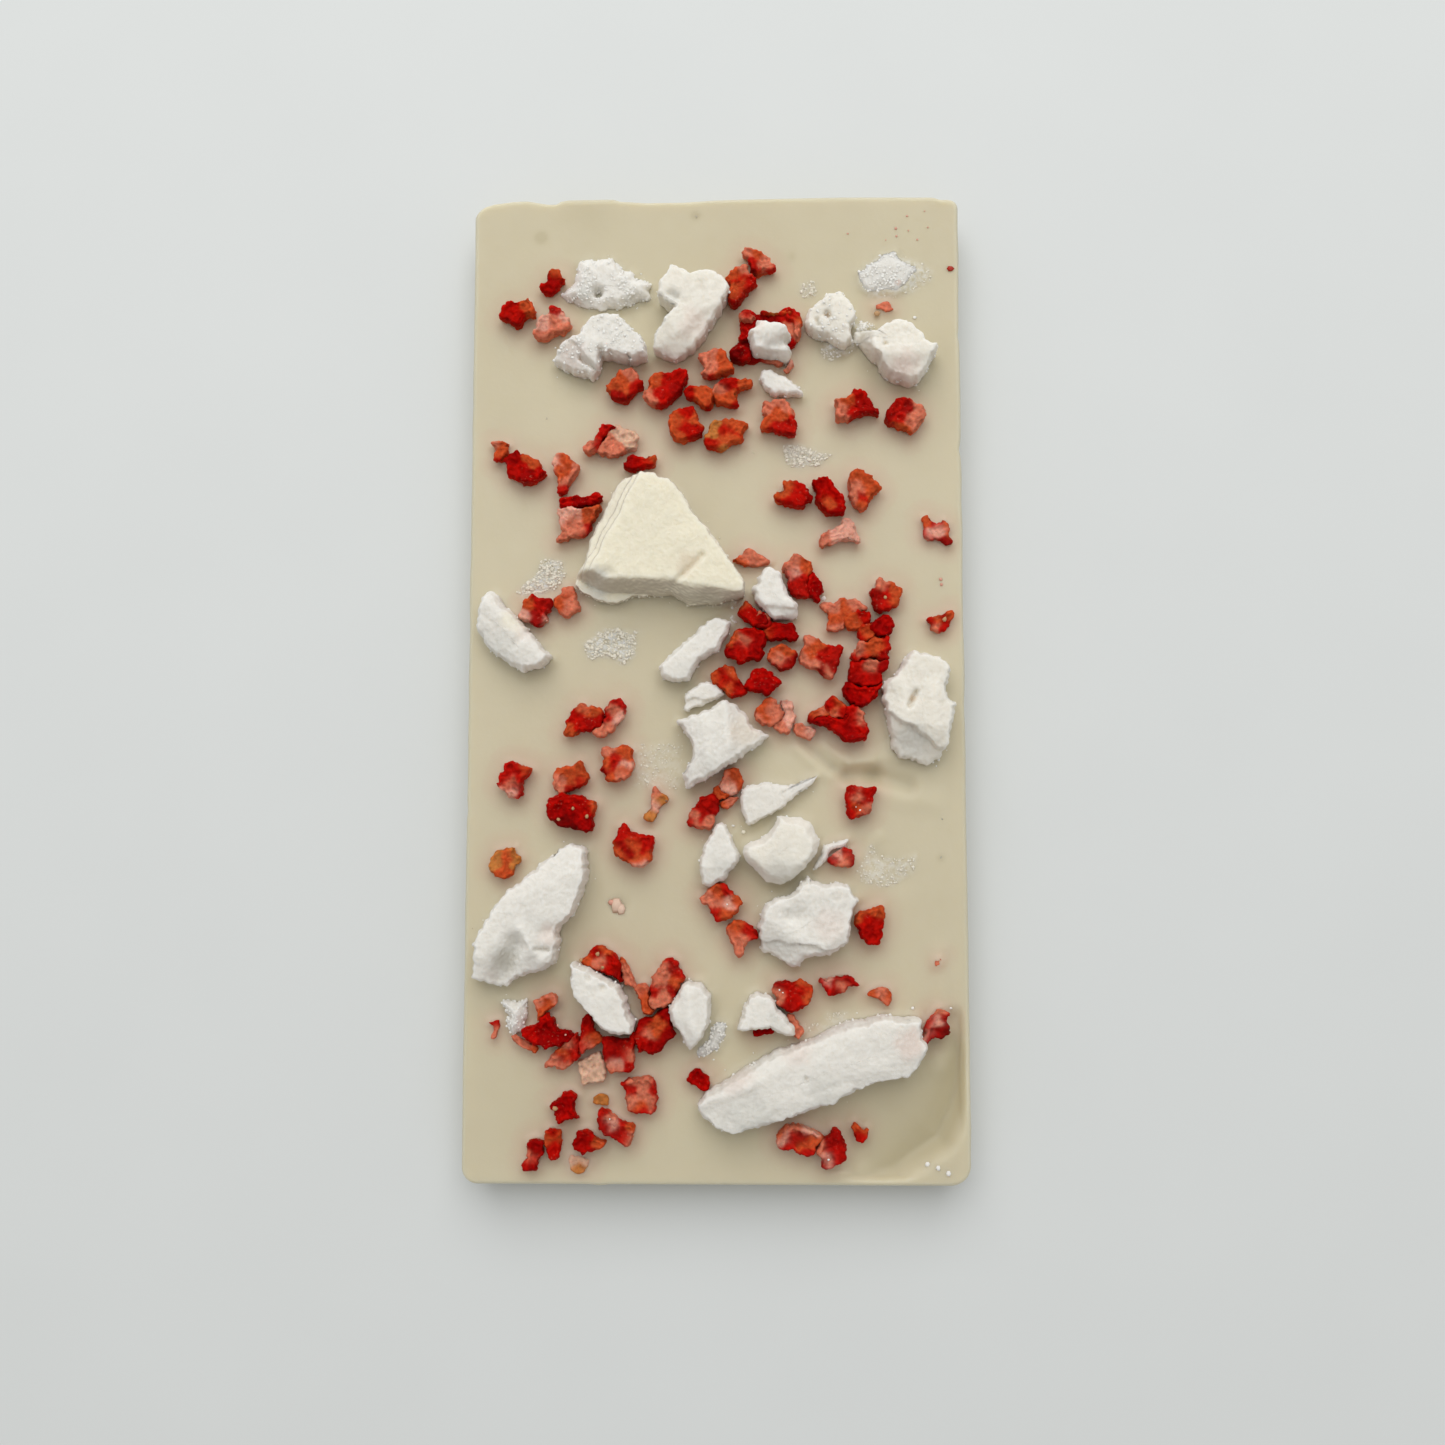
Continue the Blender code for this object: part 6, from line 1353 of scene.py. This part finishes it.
def fruitMesh(number, die):
    # rise + lean, dished inside its edge by dish * rise, drawn up where the outline reaches out, times
    # 1 - (1 - edge)(1 - gap/shoulder)^1.5 near the outline; then creases and fine lumps along the normal.
    # The colour is the mean of the tones by exp(-d^2/spot), with painted light on crests and fine lumps and
    # painted shade between them, darker at the rim, and glowing at the foot with painted light from the
    # chocolate
    finish = fruitFinish
    middle = np.array(die["middle"])
    corners = middle + np.array(die["outline"]) / 10
    rise = die["rise"]
    ring = evenOutline(corners, finish["spacing"], *finish["outline"], 300 + number)
    draw = np.random.default_rng(500 + number)
    lean = np.tan(np.radians(draw.uniform(-finish["lean"], finish["lean"], 2)))
    reach = np.hypot(*(ring - middle).T).mean()
    dish = finish["dish"] * draw.uniform(*finish["dishes"])

    def heightAt(x, y, gap):
        far = np.hypot(x - middle[0], y - middle[1]) / reach
        drawnUp, start, whole = finish["corner"]
        height = rise * (1 - dish * smooth(gap, 0.1, 0.55 * reach)) + drawnUp * smooth(far, start, whole)
        height += lean[0] * (x - middle[0]) + lean[1] * (y - middle[1])
        flat = np.stack([x, y, 0 * x + 3.1 * number], -1)
        swell, size = finish["swell"]
        height += swell * min(1, rise / 2) * layeredNoise(flat, size, 310 + number)
        near = np.clip(1 - gap / finish["shoulder"], 0, 1)
        return np.maximum(height * (1 - (1 - finish["edge"]) * near ** 1.5), finish["least"])

    grid, topRows = toppingGrid(ring, middle, finish["spacing"], heightAt, -finish["sunk"], finish["tuck"])
    creasePush, creaseSize = finish["crease"]
    finePush, fineSize = finish["fine"]
    crease = layeredNoise(grid, creaseSize, 320 + number, 2, creased=True)
    fine = layeredNoise(grid, fineSize, 330 + number, 1)
    grid = pushedOut(grid, min(1, rise / 2.2) * (creasePush * crease + finePush * fine))
    co, quads, fans = closedMesh(grid, middle)
    raised = np.append(crease.ravel(), 0)
    flat = np.column_stack([co[:, 0], co[:, 1], 0.7 * co[:, 2]])
    sway, size = finish["sway"]
    swayX, swayY = [sway * softNoise(flat, size, seed + number) for seed in (340, 350)]
    colour, total = np.zeros((len(co), 3)), np.zeros(len(co))
    for kind, places in die["tones"].items():
        for px, py in np.array(places) / 10:
            square = (co[:, 0] + swayX - middle[0] - px) ** 2 + (co[:, 1] + swayY - middle[1] - py) ** 2
            weight = np.exp(-square / finish["spot"]) + 1e-9 / (1 + square)
            colour += weight[:, None] * np.array(finish["tones"][kind])
            total += weight
    colour /= total[:, None]
    colour += finish["blend"] * (colour.mean(0) - colour)
    fromRim = np.abs(np.arange(len(grid)) - topRows + 1.0)[:, None] * np.ones(grid.shape[1])
    brow = np.append(np.exp(-(fromRim.ravel() / finish["browReach"]) ** 2), 0)
    # painted light and shade: lighter on crease crests and fine lumps, darker between them; also darker at
    # the rim
    byCrease, byFine = finish["lighter"]
    colour *= np.exp(byCrease * raised + byFine * np.append(fine.ravel(), 0) - finish["brow"] * brow)[:, None]
    low = finish["glow"] * (1 - smooth(co[:, 2] - faceHeight, 0.2, 0.75 * rise))
    colour += (colour * 0.45 + np.array(finish["foot"]) - colour) * low[:, None]
    seeds = []
    for kind, fromX, fromY, size in die.get("seeds", []):
        px, py = middle + (fromX, fromY)
        gap = np.hypot(co[:, 0] - px, co[:, 1] - py)
        seeds.append((kind, px, py, co[gap < gap.min() + 0.3, 2].max() - 0.1, 0.75 * size))
    return (co, quads, fans), np.clip(colour, 0, 1), ring, seeds


def fruitMaterial():
    # the tone, with painted shade in the pits between its grains, and pale dry grains on the paler flesh
    shader = Shader("dried strawberry")
    tone = shader.attribute("tone", "Color")
    grains = shader.noise(2400.0, 2.0)
    pits = shader.spread(grains, 0.30, 0.46, 0.25, 0.0)
    colour = shader.mix(pits, tone, (0.20, 0.002, 0.001, 1))
    dry = shader.spread(shader.noise(240.0), 0.5, 0.6)
    pale = shader.node("Math", {0: shader.spread(grains, 0.62, 0.72, 0, 0.55), 1: dry}, operation="MULTIPLY")
    colour = shader.mix(pale.outputs[0], colour, shader.mix(0.35, tone, (0.85, 0.42, 0.27, 1)))
    shader.use("Base Color", colour)
    shader.set(Roughness=0.5, Specular_IOR_Level=0.025, Subsurface_Weight=0.25, Subsurface_Scale=0.0008)
    shader.principled.inputs["Subsurface Radius"].default_value = (1.0, 0.12, 0.06)
    shader.bump(shader.mix(0.4, grains, shader.noise(5200.0, 2.0)), 0.5, 0.00025)
    return shader.material


meringueSkins = {"white": meringueMaterial("white meringue"), "cream": meringueMaterial("cream meringue")}
meringueSkins["ivory"] = meringueSkins["cream"]
outlines, edgeGrains = [], []
for number, piece in enumerate(meringuePieces, start=1):
    part, colour, ring, crumbs = meringueMesh(number, piece)
    outlines.append(ring)
    edgeGrains.append(np.column_stack([crumbs, np.full(len(crumbs), piece["colour"] == "cream")]))
    item = addMesh(f"broken_meringue_{number:02d}", [part], meringueSkins[piece["colour"]],
                   {"tone": [colour]})
    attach(item, "root")
    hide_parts(f"meringue_{number:02d}")
print("meringue pieces", len(meringuePieces))

fruitSkin = fruitMaterial()
groups = 4      # objects that share the dice, so that none has too many triangles
made = [fruitMesh(number, die) for number, die in enumerate(strawberryDice)]
fruitRings = [ring for part, colour, ring, seeds in made]
for group in range(groups):
    chosen = made[group * len(made) // groups:(group + 1) * len(made) // groups]
    item = addMesh(f"strawberry_dice_{group + 1}", [part for part, colour, ring, seeds in chosen], fruitSkin,
                   {"tone": [colour for part, colour, ring, seeds in chosen]})
    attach(item, "root")
    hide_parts("slab")
print("strawberry dice", len(strawberryDice))

# masks on the chocolate: painted shade and red light exp(-(gap/reach)^fall) round the fruit, powder,
# painted grey shade exp(-gap/reach) on the rim, and painted shade in the hollows, with tan towards the far
# end and in strength * exp(-(d/radius)^2) at single places
points, quads, fans = barMesh(chocolateBar, outlines + fruitRings)
gaps = gapToOutlines(points[:, 0], points[:, 1], fruitRings, 3.0)
flat = np.column_stack([points[:, :2], 0 * gaps])
# painted shade and red light round the fruit: a pinkish brown that fades with the gap, only on the face
reach, waver, size, fall, limit = chocolateBar["fruitShadeReach"]
fruitShadeAndRedLight = np.exp(-(gaps / (reach + waver * softNoise(flat, size, 5))) ** fall) * (gaps < limit)
fruitShadeAndRedLight *= smooth(points[:, 2], *chocolateBar["fruitShadeFrom"])
powder = powderShare(points[:, 0], points[:, 1])[0] * (points[:, 2] > faceHeight - 0.5)
edge = np.minimum(chocolateBar["halfWidth"] - np.abs(points[:, 0]),
                  chocolateBar["halfLength"] - np.abs(points[:, 1]))
# painted grey shade on the rounded rim and down the sides, falling off inwards as exp(-gap/reach)
rimShade = np.exp(-np.clip(edge, 0, 9) / chocolateBar["rimShadeReach"])
onTop = np.arange(len(points)) < faceGrid(chocolateBar)[0].size     # the face's own points come first
onTop &= (np.abs(points[:, :2]) < chocolateBar["tanLimits"]).all(1)
# painted shade in the hollows, darker the deeper the face lies; the tan towards the far end and at single
# places joins the same mask
shadeAndTan = np.clip((faceHeight - points[:, 2]) / chocolateBar["shadeDepth"], 0, 1)
start, whole, strength = chocolateBar["farTan"]
shadeAndTan += strength * smooth(points[:, 1], start, whole)
for x, y, radius, strength in chocolateBar["tans"]:
    shadeAndTan += strength * np.exp(-((points[:, 0] - x) ** 2 + (points[:, 1] - y) ** 2) / radius ** 2)
shadeAndTan = np.clip(shadeAndTan, 0, 1) * onTop
item = addMesh("chocolate_bar", [(points, quads, fans)], chocolateMaterial(),
               {"fruitShadeAndRedLight": [fruitShadeAndRedLight], "powder": [powder], "shadeAndTan": [shadeAndTan], "rimShade": [rimShade]})
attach(item, "root")
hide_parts("slab")
print("chocolate bar", len(points))


# Crumbs, seeds and specks

def grainMaterial(name):
    # the tone with a few darker grains, and a fine bump
    shader = Shader(name.replace("_", " "))
    tone = shader.attribute("tone", "Color")
    shader.use("Base Color", shader.mix(shader.spread(shader.noise(1500.0), 0.35, 0.65, 0.0, 0.12), tone,
                                        (0.60, 0.53, 0.42, 1)))
    shader.set(Roughness=0.9, Specular_IOR_Level=0.1)
    shader.bump(shader.noise(2600.0, 2.0), 0.4, 0.0002)
    return shader.material


grainFinish = {
    "white": (0.88, 0.87, 0.83), "cream": (0.87, 0.83, 0.70), "dust": (0.80, 0.76, 0.65),
    "pink": (0.72, 0.36, 0.28), "blush": (0.76, 0.56, 0.44),
    "red": (0.42, 0.02, 0.01), "seed": (0.50, 0.29, 0.14), "grey": (0.42, 0.40, 0.33),
    "brown": (0.20, 0.09, 0.04), "faint": (0.50, 0.44, 0.33), "clear": (0.66, 0.60, 0.44),
}
# kind, x, y and size of each grain that lies alone on the face
looseGrains = [
    ("white", 31.4, 57.1, 0.8), ("white", 16.7, 12.3, 0.9), ("white", 31.9, -73.8, 0.7),
    ("white", 33.5, -74.3, 0.9), ("white", 35, -75.1, 0.8), ("white", 29.9, -50.6, 0.7),
    ("white", 35.7, -50.6, 0.6), ("white", 2.7, -23, 0.6), ("cream", 4.3, -24, 0.6),
    ("grey", -27.8, 70.6, 1.1), ("faint", -3.3, 74.1, 0.9), ("faint", -26.7, 41.2, 0.7),
    ("faint", -17, 41.8, 0.6), ("grey", 34.4, -27.9, 0.7), ("brown", 31, 11.3, 0.4),
    ("grey", 23.2, -10.6, 0.6), ("grey", 34.7, -22, 0.5), ("pink", 33.2, 74.5, 0.35),
    ("pink", 30.4, 73.7, 0.35), ("pink", 28.6, 71.7, 0.4), ("pink", 30.6, 71.3, 0.3),
    ("pink", 28.7, 70.4, 0.35), ("pink", 27, 69.8, 0.3), ("pink", 21, 70.9, 0.4),
    ("pink", 33.7, 71.8, 0.35), ("pink", 32, 69.8, 0.3), ("red", 37.2, 65, 0.9), ("pink", 35, 15.2, 0.7),
    ("pink", 35.1, 14.4, 0.6), ("blush", -15.2, -35.1, 2.4), ("blush", -14.4, -35.7, 1.7),
    ("pink", -15.9, -34.7, 1), ("brown", -37.3, -38.7, 0.25), ("brown", -37, -38.6, 0.25),
    ("brown", -36.7, -38.6, 0.25), ("brown", -36.4, -38.5, 0.25), ("clear", 19.1, 71.8, 0.5),
    ("clear", -30.8, 67.3, 0.5), ("clear", 6, 35.5, 0.5), ("clear", -34.3, 52.7, 0.45),
]


def onFace(x, y):
    # height of the chocolate's face, without its climb up the toppings
    return faceHeight + faceRelief(chocolateBar, x, y, np.full(x.shape, 9.0))


def patchGrains(patch, seed):
    # random points of the patch's box that lie inside its outline, more fine ones than coarse
    draw = np.random.default_rng(seed)
    corners = np.array(patch["outline"])
    spots = draw.uniform(corners.min(0), corners.max(0), (3 * patch["count"], 2))
    spots = spots[insideOutline(spots[:, 0], spots[:, 1], corners)][:patch["count"]]
    sizes = patch["size"][0] + (patch["size"][1] - patch["size"][0]) * draw.power(0.5, len(spots))
    return np.column_stack([spots, onFace(spots[:, 0], spots[:, 1]) + 0.02 * sizes, sizes])


rows, tones = [], []
for number, patch in enumerate(crumbPatches):
    rows.append(patchGrains(patch, 700 + number))
    tones.append(np.ones((len(rows[-1]), 3)) * grainFinish[patch.get("tone", "dust")])
for grains in edgeGrains:
    rows.append(grains[:, :4])
    tones.append(np.where(grains[:, 4:] > 0.5, grainFinish["cream"], grainFinish["white"]))
seeds = [seed for part, colour, ring, own in made for seed in own]
alone = np.array([grain[1:] for grain in looseGrains])
heights = onFace(alone[:, 0], alone[:, 1])
kinds = {"meringue_crumbs": ("white", "cream"), "fruit_specks": ("pink", "blush", "red", "seed"),
         "dust_specks": ("grey", "brown", "faint", "clear")}
lifts = {"meringue_crumbs": 0.12, "fruit_specks": 0.12, "dust_specks": -0.25}     # by a grain's size
for name, members in kinds.items():
    mine = [n for n, grain in enumerate(looseGrains) if grain[0] in members]
    places = [(alone[n, 0], alone[n, 1], heights[n] + lifts[name] * alone[n, 2], alone[n, 2]) for n in mine]
    shades = [grainFinish[looseGrains[n][0]] for n in mine]
    places += [seed[1:] for seed in seeds if seed[0] in members]
    shades += [grainFinish[seed[0]] for seed in seeds if seed[0] in members]
    places, shades = np.array(places), np.array(shades)
    if name == "meringue_crumbs":
        places, shades = np.vstack([places] + rows), np.vstack([shades] + tones)
    part = lumpMesh(places[:, :3], places[:, 3], 60)
    shades = np.repeat(shades, len(part[0]) // len(shades), 0)
    item = addMesh(name, [part], grainMaterial(name), {"tone": [shades]})
    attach(item, "root")
    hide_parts("slab")
    print(name, len(places))


# Floor, light and camera

studio = {
    "floorColour": (0.712, 0.732, 0.724), "ambient": 0.46, "ambientColour": (1.0, 1.0, 0.985),
    "panelPower": 5.85, "panelSize": 0.9, "panelPlace": (-0.02, 0.48, 0.70), "panelAim": (0.0, 0.0, 0.0),
    "cameraPlace": (5.81, -26.38, 231.37), "cameraTurn": (4.944, 1.211, -0.104), "lens": 36.12,
}


def floorMaterial():
    # the floor's colour, a little darker in broad noise
    shader = Shader("pale table")
    shader.use("Base Color", shader.mix(shader.spread(shader.noise(30.0, 2.0), 0.3, 0.7),
                                        (*[0.985 * c for c in studio["floorColour"]], 1),
                                        (*studio["floorColour"], 1)))
    shader.set(Roughness=0.8, Specular_IOR_Level=0.2)
    return shader.material


floorMesh = bpy.data.meshes.new("table")
floorMesh.from_pydata([(-1.5, -1.5, 0), (1.5, -1.5, 0), (1.5, 1.5, 0), (-1.5, 1.5, 0)], [], [(0, 1, 2, 3)])
floorMesh.materials.append(floorMaterial())
table = bpy.data.objects.new("table", floorMesh)
scene.collection.objects.link(table)

world = bpy.data.worlds.new("studio")
world.use_nodes = True
world.node_tree.nodes["Background"].inputs["Color"].default_value = (*studio["ambientColour"], 1)
world.node_tree.nodes["Background"].inputs["Strength"].default_value = studio["ambient"]
scene.world = world

panel = bpy.data.lights.new("soft panel", "AREA")
panel.shape = "SQUARE"
panel.size = studio["panelSize"]
panel.energy = studio["panelPower"]
lamp = bpy.data.objects.new("soft panel", panel)
lamp.location = studio["panelPlace"]
aim = Vector(studio["panelAim"]) - Vector(studio["panelPlace"])
lamp.rotation_euler = aim.to_track_quat("-Z", "Y").to_euler()
scene.collection.objects.link(lamp)

cameraData = bpy.data.cameras.new("camera")
cameraData.sensor_width = 36
cameraData.lens = studio["lens"]
cameraData.clip_start = 0.01
camera = bpy.data.objects.new("camera", cameraData)
tilt, pan, roll = [math.radians(turn) for turn in studio["cameraTurn"]]
camera.matrix_world = (Matrix.Translation(Vector(studio["cameraPlace"]) * millimetre)
                       @ Matrix.Rotation(tilt, 4, "X") @ Matrix.Rotation(pan, 4, "Y")
                       @ Matrix.Rotation(roll, 4, "Z"))
scene.collection.objects.link(camera)
scene.camera = camera
scene.view_settings.view_transform = "Standard"
print("table, light and camera")
